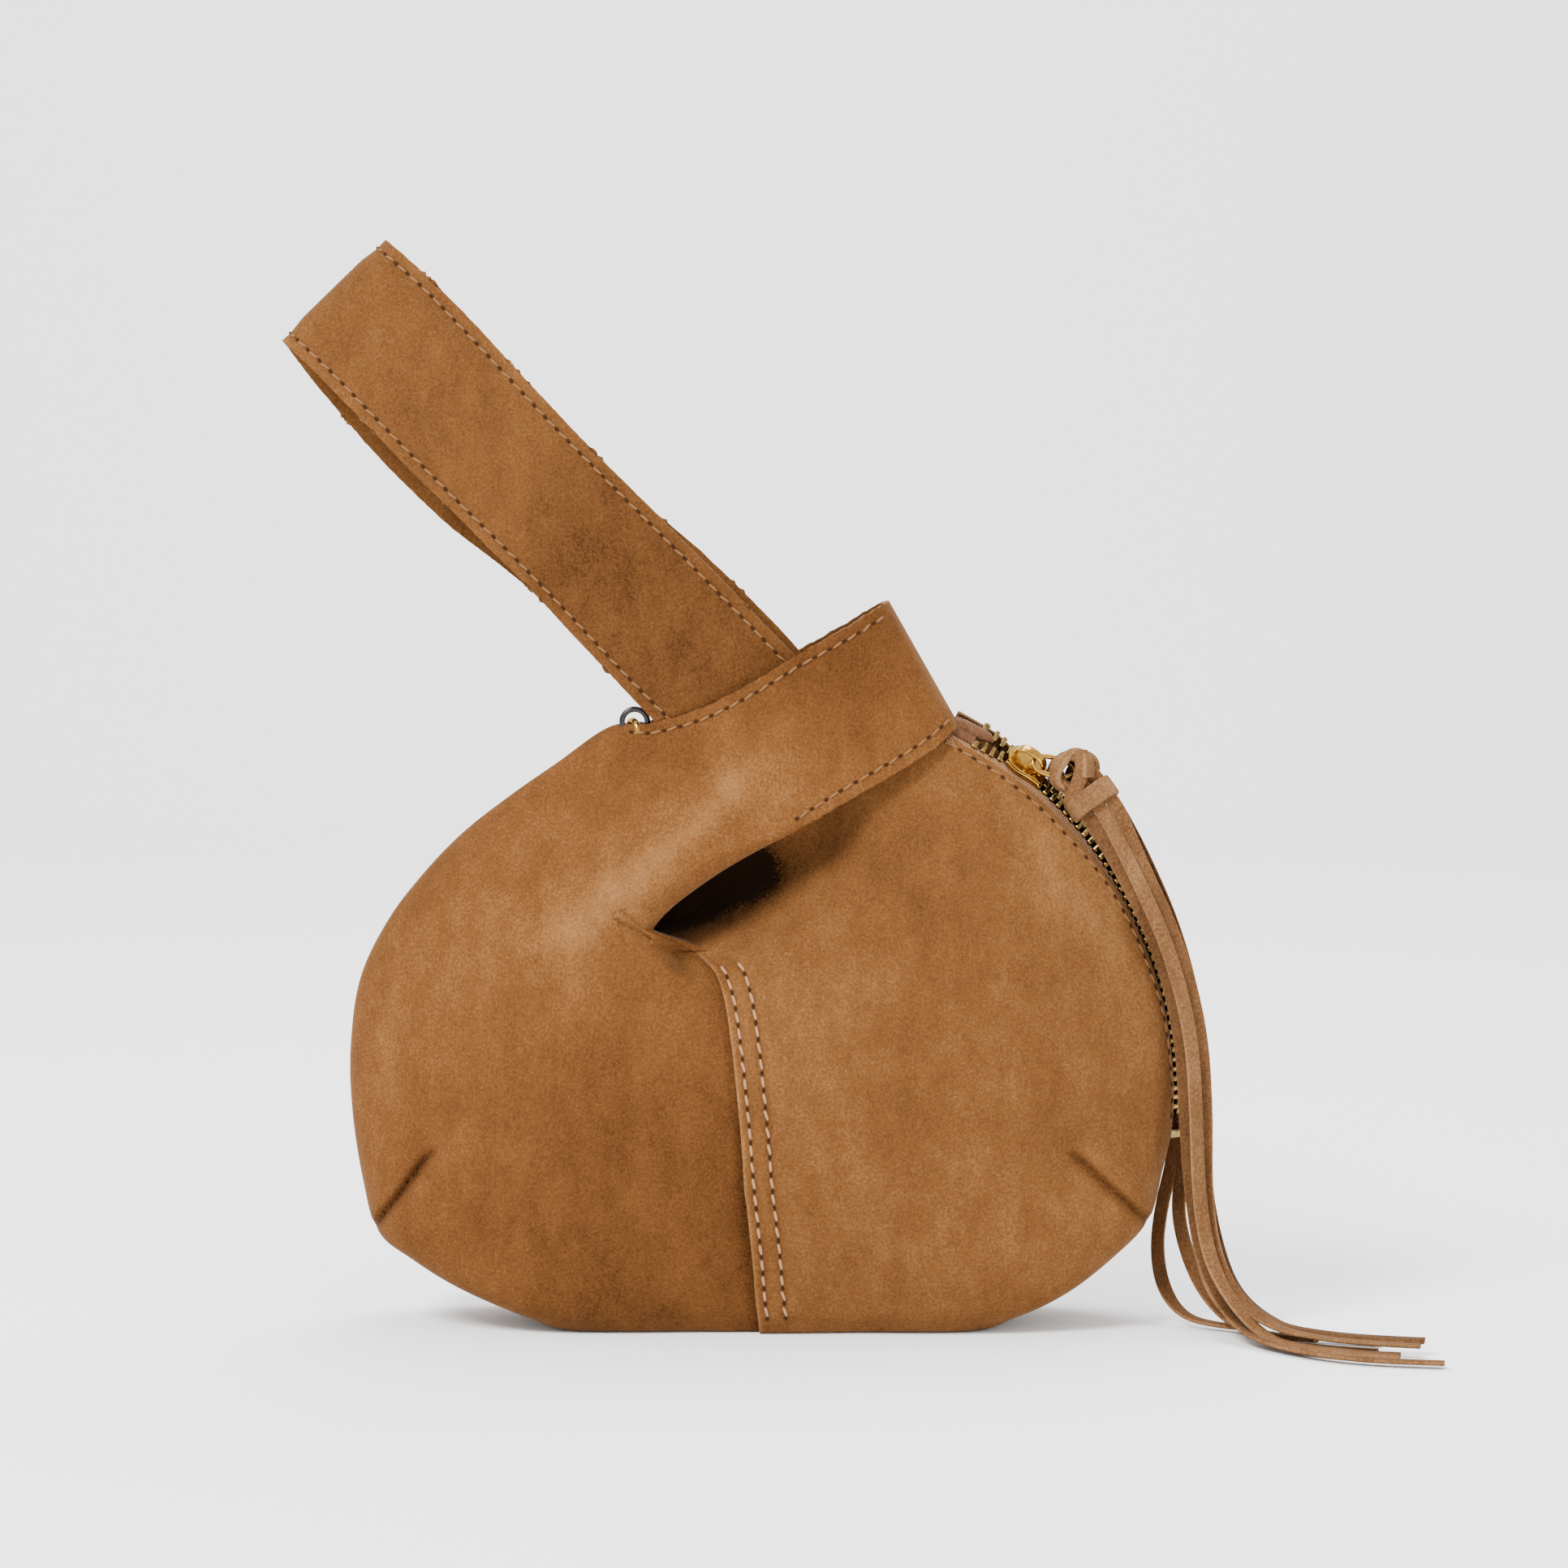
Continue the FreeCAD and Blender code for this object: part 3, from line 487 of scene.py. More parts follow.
# The rows where the short loop's cut edges start, at its far and its rim side.
LOOP_CUT_EDGES = (18.6, 16.3)
CREST = ((-47, 106), (-6, 142))

# Soft marks of the sheets' depth and tone: (amount, width, place) or (amount, width, start, end).
LEFT_WAVES = [
    (-1.8, 9, (-50, 128), (-12, 152)),
    (-1.3, 7, (2, 158), (32, 172)),
    (1.0, 7, (20, 146), (44, 168)),
    (-1.6, 10, (-80, 84), (-74, 30)),
    (1.0, 11, (-58, 100), (-44, 40)),
]
RIGHT_WAVES = [
    (-1.2, 12, (30, 92), (52, 46)),
    (1.2, 11, (70, 96), (88, 70)),
]
LEFT_TONE_AND_LIGHT_MARKS = [
    # A pale crest: partly worn nap, partly a painted highlight along the ridge.
    (0.10, 3.4, *CREST),
    (0.19, 12, *CREST),
    # Darker towards the bottom.
    (-0.10, 32, (-30, 25)),
    (0.10, 12, (-104, 60), (-60, 130)),
    # Painted shade in the valley above the crest.
    (-0.12, 11, (-60, 120), (-20, 150)),
    # Painted shade in the hollow on the short loop.
    (-0.10, 13, (18, 170)),
    (0.08, 7, (15, 138), (50, 162)),
    # Painted shade in the dart's groove.
    (-0.35, 0.9, *LEFT_DART),
    # Painted shade in the recess by the fold's apex.
    (-0.25, 2.6, (-20.5, 98)),
]
RIGHT_TONE_AND_SHADE_MARKS = [
    (0.08, 22, (96, 30)),
    # Painted shade along the hollow under the fold.
    (-0.15, 8, (-6, 114), (22, 131)),
    # Painted shade in the dart's groove.
    (-0.35, 0.9, *RIGHT_DART),
    (0.08, 7, (70, 130), (104, 75)),
    # Painted shade under the short loop's lower edge.
    (-0.12, 22, (35, 115)),
    (-0.08, 20, (60, 60)),
    (0.10, 12, (10, 78)),
]


def lap_x(z):
    """Where the right panel's edge laps over the left, at a height."""
    return np.interp(z, LAP_EDGE[:, 1], LAP_EDGE[:, 0])


def dart_relief(x, z, dart, towards):
    """The sewn dart: a sharp groove that starts in a dimple, with one side proud of the other."""
    distance, away, along = segment_distance(x, z, *dart)
    groove = -2.4 * hill(distance, 0.9) * smoothstep(along, -0.01, 0.15)
    step = 0.8 * hill(distance, 4) * np.tanh(towards * away / 0.7) * along
    dimple = -2.6 * hill(np.hypot(x - dart[0][0], z - dart[0][1]), 4.0)
    shoulder = 2.2 * hill(distance, 9) * smoothstep(along, 0.1, 0.7)
    return groove + step + dimple + shoulder


def left_relief(x, z, front):
    """Extra depth of the left sheet: crest and valley of the fold, darts, soft waves."""
    distance, _, along = segment_distance(x, z, (-52, 101), (-4, 143))
    fade = smoothstep(along, 0.0, 0.25) * (1 - smoothstep(along, 0.8, 1.0))
    relief = 2.4 * hill(distance, 6.0) * (0.25 + 0.75 * fade)
    inside = -segment_distance(x, z, (-29, 100), (-16, 90.5))[1]
    relief -= 5.5 * smoothstep(inside, -0.6, 2.6) * hill(np.hypot(x + 20, z - 98.5), 5)
    relief -= 1.1 * smoothstep(x, lap_x(z) - 9, lap_x(z) - 1) * (z < LAP_TOP + 1)
    relief += marks(x, z, LEFT_WAVES) + dart_relief(x, z, LEFT_DART, 1)
    return relief + 0.9 * ripple(x, z, 1 if front else 4)


def right_relief(x, z, front):
    """Extra depth of the right sheet: the hollow under the fold, the seam, dart and waves."""
    hollow = segment_distance(x, z, (-24, 105), (14, 126))[0]
    relief = -10 * hill(hollow, 8.5) * smoothstep(z, 95, 108)
    away = x - lap_x(z)
    seam = hill(away - 4.8, 1.3) - hill(away - 2.4, 0.7) - hill(away - 7.4, 0.7)
    relief += 0.35 * seam * (z < LAP_TOP - 1)
    relief += marks(x, z, RIGHT_WAVES) + dart_relief(x, z, RIGHT_DART, -1)
    return relief + 0.9 * ripple(x, z, 2 if front else 5)


def row_line(row, relief, front, inset=0.0):
    """A dense line of points along one row of a sheet."""
    rim, far = row[0:2], row[2:4]
    rim_depth, start, middle, end, boxiness, curl = row[4:]
    boxiness = min(max(boxiness, 0), 1)
    turn = ROW_SAMPLES * math.pi / 2
    round_exponent = LENS[0] + (BOX[0] - LENS[0]) * boxiness
    depth_exponent = LENS[1] + (BOX[1] - LENS[1]) * boxiness
    t = 1 - np.cos(turn).clip(0, 1) ** (2 / round_exponent)
    closing = np.sin(turn).clip(0, 1) ** (2 / depth_exponent)
    body = (start * 2 * (t - 0.5) * (t - 1) - middle * 4 * t * (t - 1) + end * 2 * t * (t - 0.5))
    depth = rim_depth + (body - rim_depth) * closing
    width = math.dist(rim, far)
    if curl > 0.1:
        keep = width * (1 - t) > curl
        t, depth = t[keep], depth[keep]
        bend = np.linspace(0, CURL_TURN, 40)[1:]
        t = np.concatenate([t, 1 - (curl - curl * np.sin(bend)) / width])
        depth = np.concatenate([depth, depth[-1] - curl * (1 - np.cos(bend))])
    x = rim[0] + (far[0] - rim[0]) * t
    z = rim[1] + (far[1] - rim[1]) * t
    fade = np.clip(depth / 7, 0, 1)
    depth = depth + relief(x, z, front) * fade
    z = z * np.where(z < 3, smoothstep(z, 0, 3), 1)
    depth = np.maximum(depth - inset * np.clip(depth / 4, 0, 1), 0)
    side = -1 if front else 1
    return np.stack([x, side * depth, z], axis=1)


def resampled(line, fractions):
    lengths = lengths_along(line)
    return interpolated(line, lengths, fractions * lengths[-1])


def stations_of(table, step):
    """Stations along a sheet, about evenly spaced over its surface."""
    table = np.asarray(table, float)
    fine = np.linspace(0, len(table) - 1, 1500)
    rows = spline(table, fine)
    rim = rows[:, 0:2]
    far = rows[:, 2:4]
    middle = (rim + far) / 2
    speed = sum(np.linalg.norm(np.diff(line, axis=0), axis=1) for line in (rim, far, middle)) / 3
    speed = np.hypot(speed, np.abs(np.diff(rows[:, 6])))
    lengths = np.concatenate([[0], np.cumsum(speed + 1e-4)])
    count = int(lengths[-1] / step)
    return np.interp(np.linspace(0, lengths[-1], count), lengths, fine)


def edge_weighted(count):
    """Fractions from 0 to 1 that are closer together at both ends."""
    t = np.linspace(0, 1, count)
    return 0.72 * t + 0.28 * (0.5 - 0.5 * np.cos(math.pi * t))


def ragged(rows, starts, amount):
    """Small irregular waves of the far and rim edges, each from its own row upwards."""
    rows = rows.copy()
    for start, height_column in zip(starts, (3, 1)):
        wave = np.sin(np.arange(len(rows)) * 0.83) + np.sin(np.arange(len(rows)) * 1.9 + 2)
        wave = wave + RNG.normal(0, 0.8, len(rows))
        rows[start:, height_column] += amount * wave[start:]
    return rows


def sheet_half(table, relief, front, step, columns, inset, raw):
    """Points of one face of a sheet, and their number of rows. Raw gives where cut edges start."""
    stations = stations_of(table, step)
    rows = spline(table, stations)
    if raw is not None:
        kept_end = rows[-4:].copy()
        rows = ragged(rows, np.searchsorted(stations, raw), 0.1)
        rows[-4:] = kept_end
    fractions = edge_weighted(columns)
    points = [resampled(row_line(row, relief, front, inset), fractions) for row in rows]
    return np.concatenate(points), len(stations)


def sheet_object(name, table, relief, tone, material, rim_left, step, columns, inset=0.0, raw=None):
    """Front and back of a sheet, joined where they meet on the bag's middle plane."""
    halves = []
    for front, ending in ((True, "_f"), (False, "_b")):
        points, rows = sheet_half(table, relief, front, step, columns, inset, raw)
        faces = grid_faces(rows, columns, flip=front != rim_left)
        shade = tone(points[:, 0], points[:, 2])
        halves.append(mesh_object(name + ending, points, faces, material, tone=shade))
    return weld(joined(name, halves))


def left_tone_and_painted_light(x, z):
    """Where the left suede looks paler or darker: a pale crest of worn nap and painted highlight, painted
    shade in valleys, grooves and recesses, a painted shadow along the lap's edge, and darker towards the
    bottom.
    """
    # A painted shadow beside the right panel's lapped edge.
    lap = -0.16 * hill(x - lap_x(z) + 0.8, 1.0) * (z < LAP_TOP)
    return marks(x, z, LEFT_TONE_AND_LIGHT_MARKS) + lap - 0.10


def right_tone_and_painted_shade(x, z):
    """Where the right suede looks paler or darker: painted shade in the hollow under the fold, a pale raw
    edge along the seam with painted shade in its stitch grooves, and darker near the base.
    """
    away = x - lap_x(z)
    # A pale raw edge at the lap, and painted shade in the two stitch grooves.
    seam = 0.30 * hill(away, 0.5) - 0.12 * hill(away - 2.4, 0.8) - 0.12 * hill(away - 7.2, 0.8)
    # Painted shade deep in the hollow under the fold.
    deep = segment_distance(x, z, (-26, 105), (-2, 119))[0]
    shade = -0.9 * hill(deep, 5.0) * smoothstep(z, 98, 106)
    return marks(x, z, RIGHT_TONE_AND_SHADE_MARKS) + seam * (z < LAP_TOP) + shade - 0.10 * hill(z - 8, 16)


def even_tone(x, z):
    return 0 * x


def add_panels():
    left = sheet_object("left_panels_and_short_loop", LEFT_ROWS, left_relief, left_tone_and_painted_light, SUEDE_DARK,
                        True, SHEET_STEP, 124, raw=LOOP_CUT_EDGES)
    thicken(left, SHEET_THICKNESS, edge_material=EDGE)
    place_piece(left, ("front_left_panel", "back_left_panel", "short_loop_outer_ply",
                       "short_loop_inner_ply"), "bag")
    right = sheet_object("right_panels", RIGHT_ROWS, right_relief, right_tone_and_painted_shade, SUEDE_LIGHT,
                         False, SHEET_STEP, 132)
    thicken(right, SHEET_THICKNESS, edge_material=EDGE)
    place_piece(right, ("front_right_panel", "back_right_panel"), "bag")


def add_lining():
    """A plain lining just inside the suede, seen only through gaps."""
    pieces = []
    for name, table, relief, rim_left in (("left_lining", LEFT_ROWS[:15], left_relief, True),
                                          ("right_lining", RIGHT_ROWS[:16], right_relief, False)):
        pieces.append(sheet_object(name, table, relief, even_tone, LINING, rim_left, 3.0, 50, inset=2.6))
    place_piece(joined("lining", pieces), ("front_lining", "back_lining"), "bag")


# ------------------------------------------------------------------ sweeps

def superellipse(half_width, half_height, count, exponent):
    """A rounded flat section as (across, up) points."""
    angles = np.linspace(0, 2 * math.pi, count, endpoint=False)
    c, s = np.cos(angles), np.sin(angles)
    return np.stack([half_width * np.sign(c) * np.abs(c) ** (2 / exponent),
                     half_height * np.sign(s) * np.abs(s) ** (2 / exponent)], axis=1)


def tangents(points, closed=False):
    points = np.asarray(points, float)
    if closed:
        change = np.roll(points, -1, axis=0) - np.roll(points, 1, axis=0)
    else:
        change = np.gradient(points, axis=0)
    return change / np.linalg.norm(change, axis=1, keepdims=True)


def sweep(name, points, ups, section, material, closed=False, scale=None, tone=None):
    """A section carried along a line of points; ups give the section's upward direction."""
    points = np.asarray(points, float)
    forward = tangents(points, closed)
    ups = np.broadcast_to(np.asarray(ups, float), points.shape)
    ups = ups - forward * np.sum(ups * forward, axis=1, keepdims=True)
    ups = ups / np.linalg.norm(ups, axis=1, keepdims=True)
    across = np.cross(forward, ups)
    scale = np.ones(len(points)) if scale is None else np.asarray(scale, float)
    rings = (points[:, None] + across[:, None] * section[None, :, :1] * scale[:, None, None]
             + ups[:, None] * section[None, :, 1:] * scale[:, None, None])
    count = len(section)
    faces = grid_faces(len(points), count, closed_rows=closed, closed_columns=True)
    if not closed:
        faces.append(tuple(range(count)))
        faces.append(tuple((len(points) - 1) * count + i for i in range(count - 1, -1, -1)))
    shade = None if tone is None else np.full(len(points) * count, tone)
    return mesh_object(name, rings.reshape(-1, 3), faces, material, tone=shade)


def smooth_line(controls, step):
    """A smooth line through a few given points."""
    controls = np.asarray(controls, float)
    fine = spline(controls, np.linspace(0, len(controls) - 1, 40 * len(controls)))
    return even_steps(fine, step)


# ------------------------------------------------------------------ stitching

def stitch_template():
    """A small rounded bar along x with unit half length and unit radius."""
    sides = 6
    stations = ((-1, 0.35), (-0.75, 0.85), (0, 1.0), (0.75, 0.85), (1, 0.35))
    turns = np.linspace(0, 2 * math.pi, sides, endpoint=False)
    points = [(x, r * math.cos(turn), r * math.sin(turn)) for x, r in stations for turn in turns]
    faces = grid_faces(len(stations), sides, closed_columns=True)
    last = (len(stations) - 1) * sides
    faces += [tuple(range(sides)), tuple(last + i for i in range(sides - 1, -1, -1))]
    return np.array(points), faces


STITCH_POINTS, STITCH_FACES = stitch_template()
STITCH_PITCH = 4.2
STITCH_HALF_LENGTH = 1.35


def many_shapes(name, shapes, faces, material, smooth=True):
    """One mesh of several shapes, each with its own list of faces."""
    moved = []
    total = 0
    for shape, shape_faces in zip(shapes, faces):
        moved += [tuple(i + total for i in face) for face in shape_faces]
        total += len(shape)
    return mesh_object(name, np.concatenate(shapes), moved, material, smooth)


def stitches(name, lines, thread, width, hole):
    """Sewn threads, and dark marks of painted shade at the needle holes, along lines of (points,
    normals).
    """
    # Each kind: place in the pitch, half length, radius, height above the leather, flatness, slant.
    kinds = ((0.5, STITCH_HALF_LENGTH, width, 0.14, 0.75, 1), (0.0, 0.6, hole, 0.08, 0.35, 0))
    bars = ([], [])
    for points, normals in lines:
        lengths = lengths_along(points)
        count = int(lengths[-1] / STITCH_PITCH)
        pitch = lengths[-1] / count
        for index in range(count):
            for shapes, (offset, half, size, height, flatness, slant) in zip(bars, kinds):
                place = (index + offset) * pitch + RNG.normal(0, 0.08)
                here = interpolated(points, lengths, place)
                ahead = interpolated(points, lengths, place + 0.6)
                if np.linalg.norm(ahead - here) < 1e-6:
                    continue
                up = unit(interpolated(normals, lengths, place))
                along = unit(ahead - here)
                side = unit(np.cross(up, along))
                along = unit(along + side * RNG.normal(0.12, 0.05) * slant)
                side = unit(np.cross(up, along))
                shapes.append(here + up * height + STITCH_POINTS[:, :1] * along * half
                              + STITCH_POINTS[:, 1:2] * side * size
                              + STITCH_POINTS[:, 2:] * up * size * flatness)
    made = []
    for ending, shapes, material in zip(("_thread", "_holes"), bars, (thread, HOLE_SHADE)):
        made.append(many_shapes(name + ending, shapes, [STITCH_FACES] * len(shapes), material))
    return made


def sheet_line(table, relief, front, from_far, distance, first, last):
    """A line on a sheet's outer face, some distance from an edge, with its normals."""
    points, across = [], []
    count = max(int((last - first) * 14), 8)
    for row in spline(table, np.linspace(first, last, count)):
        line = row_line(row, relief, front)
        if from_far:
            line = line[::-1]
        lengths = lengths_along(line)
        points.append(interpolated(line, lengths, distance))
        across.append(interpolated(line, lengths, distance + 0.5)
                      - interpolated(line, lengths, distance - 0.5))
    points = np.array(points)
    normals = np.cross(tangents(points), np.array(across))
    normals /= np.linalg.norm(normals, axis=1, keepdims=True)
    wanted = -1 if front else 1
    normals *= np.sign(normals[:, 1:2] * wanted + 1e-9)
    return points, normals


def add_bag_stitches():
    """Two pale lines along the lap, and darker lines along the zip and the short loop's edges."""
    pale, dark = [], []
    for front in (True, False):
        for seam in LAP_STITCHES:
            pale.append(sheet_line(RIGHT_ROWS, right_relief, front, True, *seam))
        dark.append(sheet_line(RIGHT_ROWS, right_relief, front, False, *ZIP_STITCHES))
        dark.append(sheet_line(LEFT_ROWS, left_relief, front, False, *LOOP_RIM_STITCHES))
        dark.append(sheet_line(LEFT_ROWS, left_relief, front, True, *LOOP_FAR_STITCHES))
    made = stitches("bag_stitches", pale, THREAD, 0.42, 0.44)
    made += stitches("loop_stitches", dark, STRAP_THREAD, 0.34, 0.46)
    for obj in made:
        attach(obj, "bag")


# ------------------------------------------------------------------ long wrist strap

LONG_START = np.array([-10.0, 0, 167])
LONG_ANGLE = math.radians(133.9)
LONG_ALONG = np.array([math.cos(LONG_ANGLE), 0, math.sin(LONG_ANGLE)])
LONG_ACROSS = np.array([LONG_ALONG[2], 0, -LONG_ALONG[0]])
STRAP_HALF_WIDTH = 18.6
PLY = 1.25
PLY_GAP = 0.12
STRAP_STITCH_INSET = 2.9
# The loop from the front root over the fold to the back root: along, depth, sideways shift.
STRAP_LOOP = [(-16, -3.0, 0), (0, -3.3, 0), (14, -4.6, 0), (30, -7.4, 0.2), (52, -10.4, 0.3),
              (78, -11.6, 0.2), (104, -10.6, 0), (124, -8.2, 0), (134.5, -6.2, 0), (139.6, -3.9, -0.2),
              (141.4, 0, -1.6), (139.6, 3.9, -3.4), (134.5, 6.2, -4.6), (124, 8.4, -5.2),
              (104, 10.8, -4.9), (78, 11.8, -2.8), (52, 10.6, -0.8), (30, 7.6, 0.6), (14, 4.8, 1.4),
              (0, 3.4, 1.6), (-16, 3.0, 1.4)]
# Painted shade low on the strap where the short loop shades it, and a slightly darker middle.
STRAP_TONE_AND_SHADE_MARKS = [(-0.19, 26, (-22, 181)), (-0.06, 22, (-62, 222))]


def strap_surface(q, offset):
    """Points of the strap at q across it, moved outwards by an offset, and their normals."""
    loop = spline(STRAP_LOOP, np.linspace(0, len(STRAP_LOOP) - 1, 1200))
    flat = even_steps(loop * (1, 1, 0), 1.1)
    shift = np.interp(np.arange(len(flat)), np.linspace(0, len(flat) - 1, len(loop)), loop[:, 2])
    forward = tangents(flat)
    outward = np.stack([forward[:, 1], -forward[:, 0]], axis=1)
    along, depth = (flat[:, :2] + outward * offset).T
    wave = 0.35 * np.sin(flat[:, 0] / 17 + 1) * (q / STRAP_HALF_WIDTH)
    points = (LONG_START + along[:, None] * LONG_ALONG + (q + shift + wave)[:, None] * LONG_ACROSS
              + depth[:, None] * DEPTH)
    return points, outward[:, :1] * LONG_ALONG + outward[:, 1:] * DEPTH


def strap_ply(name, base, cushion):
    """One ply of the strap: slightly full between its stitch lines, with cut edges."""
    from_middle = 1 - np.linspace(1, 0, 23) ** 1.7
    fractions = np.concatenate([-from_middle[::-1], from_middle[1:]])
    columns = []
    for fraction in fractions:
        q = fraction * STRAP_HALF_WIDTH
        from_edge = STRAP_HALF_WIDTH - abs(q)
        pulled = 0.25 * abs(cushion) * hill(from_edge - STRAP_STITCH_INSET, 0.7)
        points, _ = strap_surface(q, base + cushion * smoothstep(from_edge, 3.0, 9) - pulled)
        if from_edge < 0.01:
            jag = RNG.normal(0, 0.05, len(points)) + 0.08 * np.sin(np.arange(len(points)) * 0.23)
            points = points + jag[:, None] * LONG_ACROSS
        columns.append(points)
    grid = np.stack(columns, axis=1)
    rows, count = grid.shape[:2]
    points = grid.reshape(-1, 3)
    x, z = points[:, 0], points[:, 2]
    tone = 0.09 * smoothstep(np.tile(np.abs(fractions), rows), 0.8, 1.0) - 0.12
    # Painted shade from the short loop low on the strap, with small tone changes.
    tone += marks(x, z, STRAP_TONE_AND_SHADE_MARKS) + 0.05 * np.sin(x / 14) * np.cos(z / 19)
    obj = mesh_object(name, points, grid_faces(rows, count, flip=True), SUEDE_LIGHT, tone=tone)
    return thicken(obj, PLY, offset=0, bevel=0.3, edge_material=EDGE)


def bend_strap(obj):
    """Bake the strap's placement into its mesh."""
    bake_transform(obj)


def add_strap():
    middle = (PLY + PLY_GAP) / 2
    outer = strap_ply("strap_outer_ply", middle, 0.55)
    inner = strap_ply("strap_inner_ply", -middle, -0.1)
    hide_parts("long_strap_outer_ply")
    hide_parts("long_strap_inner_ply")
    stitch_row = STRAP_HALF_WIDTH - STRAP_STITCH_INSET
    lines = [strap_surface(q, PLY - PLY_GAP / 2) for q in (-stitch_row, stitch_row)]
    made = stitches("strap_stitches", lines, STRAP_THREAD, 0.34, 0.46)
    for obj in [outer, inner] + made:
        bend_strap(obj)


# ------------------------------------------------------------------ zip

DISC_CENTRE = np.array([0, 0, 60.8])
CHAIN_RADIUS = 108.4
CHAIN_Y = 0.3
ROLL = math.radians(40)
SLIDER_ANGLE = 51.0
TOOTH_PITCH = 2.5
TEETH_LOW, TEETH_HIGH = -4.9, 57.2
OPEN_GAP = 2.0


def chain_frame(degrees):
    """Origin, along, back and out vectors of the tooth chain."""
    turn = math.radians(degrees)
    radial = np.array([math.cos(turn), 0, math.sin(turn)])
    along = np.array([math.sin(turn), 0, -math.cos(turn)])
    out = radial * math.cos(ROLL) - DEPTH * math.sin(ROLL)
    origin = DISC_CENTRE + radial * CHAIN_RADIUS + DEPTH * CHAIN_Y
    return origin, along, np.cross(out, along), out


def at_chain(points, degrees):
    origin, along, back, out = chain_frame(degrees)
    points = np.asarray(points, float)
    return origin + points[:, :1] * along + points[:, 1:2] * back + points[:, 2:] * out


def rounded_box(low, high, corner):
    """A box with its corners cut off: 24 points and their faces."""
    low, high = np.array(low, float), np.array(high, float)
    points = []
    for upper in np.ndindex(2, 2, 2):
        outer = np.where(upper, high, low)
        for axis in range(3):
            point = outer + np.where(upper, -corner, corner)
            point[axis] = outer[axis]
            points.append(point)
    points = np.array(points)
    return points, hull_faces(points)


def hull_faces(points):
    """Faces of the convex hull of a few points."""
    mesh = bmesh.new()
    for index, point in enumerate(points):
        mesh.verts.new(tuple(point)).index = index
    mesh.verts.ensure_lookup_table()
    bmesh.ops.convex_hull(mesh, input=mesh.verts)
    faces = [tuple(v.index for v in face.verts) for face in mesh.faces]
    mesh.free()
    return faces


def parting(angle):
    """How far the rows stand apart: closed below the slider, open above it."""
    return OPEN_GAP * smoothstep(angle, SLIDER_ANGLE + 0.5, TEETH_HIGH)


def add_teeth():
    """Two rows of metal teeth, each a narrow shank with a wider cap clamped on its tape."""
    pitch = math.degrees(TOOTH_PITCH / CHAIN_RADIUS)
    for name, side, shift in (("front", -1, 0.0), ("back", 1, 0.5)):
        low, high = sorted((side * -0.75, side * 2.9))
        shank = rounded_box((-0.6, low, -1.15), (0.6, high, 1.15), 0.22)
        low, high = sorted((side * 0.9, side * 2.95))
        cap = rounded_box((-0.66, low, -1.3), (0.66, high, 1.3), 0.3)
        shapes, faces = [], []
        for index in range(int((TEETH_HIGH - TEETH_LOW) / pitch)):
            angle = TEETH_HIGH - (index + shift) * pitch
            for shape, shape_faces in (shank, cap):
                moved = shape + DEPTH * side * parting(angle)
                shapes.append(at_chain(moved, angle + RNG.normal(0, 0.05)))
                faces.append(shape_faces)
        row = many_shapes("zip_teeth_row_" + name, shapes, faces, ANTIQUE, smooth=False)
        place_piece(row, ["zip_teeth_" + name], "bag")


def add_stops():
    """A stop at the top of each row, and one across both at the bottom."""
    top, top_faces = rounded_box((-0.9, -1.3, -1.3), (0.9, 1.3, 1.3), 0.4)
    bottom, bottom_faces = rounded_box((-1.1, -3.1, -1.4), (1.1, 3.1, 1.4), 0.35)
    apart = DEPTH * 4.0
    shapes = [at_chain(top - apart, TEETH_HIGH + 1.3), at_chain(top + apart, TEETH_HIGH + 1.0),
              at_chain(bottom, TEETH_LOW - 1.2)]
    stops = many_shapes("zip_stops", shapes, [top_faces, top_faces, bottom_faces], ANTIQUE, smooth=False)
    place_piece(stops, ("zip_top_stops", "zip_bottom_stop"), "bag")


# The tapes' sections as (radius, depth): from the teeth to under each panel's edge.
FRONT_TAPE = [(106.9, -1.5), (105.7, -2.9), (104.3, -4.2), (102.4, -4.9), (99.6, -5.6), (96, -6.4)]
BACK_TAPE = [(109.9, 2.1), (110.0, 3.1), (109.2, 4.3), (107.4, 5.0), (104.6, 4.9), (101, 5.2), (97, 6)]


def add_tapes():
    """The woven tapes, which part with the teeth above the slider."""
    columns = 19
    angles = np.linspace(-6.5, 62.5, 100)
    for name, side, section in (("front", -1, FRONT_TAPE), ("back", 1, BACK_TAPE)):
        radius, depth = spline(section, np.linspace(0, len(section) - 1, columns)).T
        rows = []
        for angle in angles:
            turn = math.radians(angle)
            radial = np.array([math.cos(turn), 0, math.sin(turn)])
            gap = parting(angle) * side * (1 - smoothstep(np.arange(columns), 4, 12))
            rows.append(DISC_CENTRE + (radius + gap * math.sin(ROLL))[:, None] * radial
                        + (depth + gap * math.cos(ROLL))[:, None] * DEPTH)
        faces = grid_faces(len(angles), columns, flip=side > 0)
        tape = mesh_object("tape_" + name, np.concatenate(rows), faces, TAPE)
        thicken(tape, 0.6, offset=0, bevel=0)
        place_piece(tape, ["zip_tape_" + name], "bag")


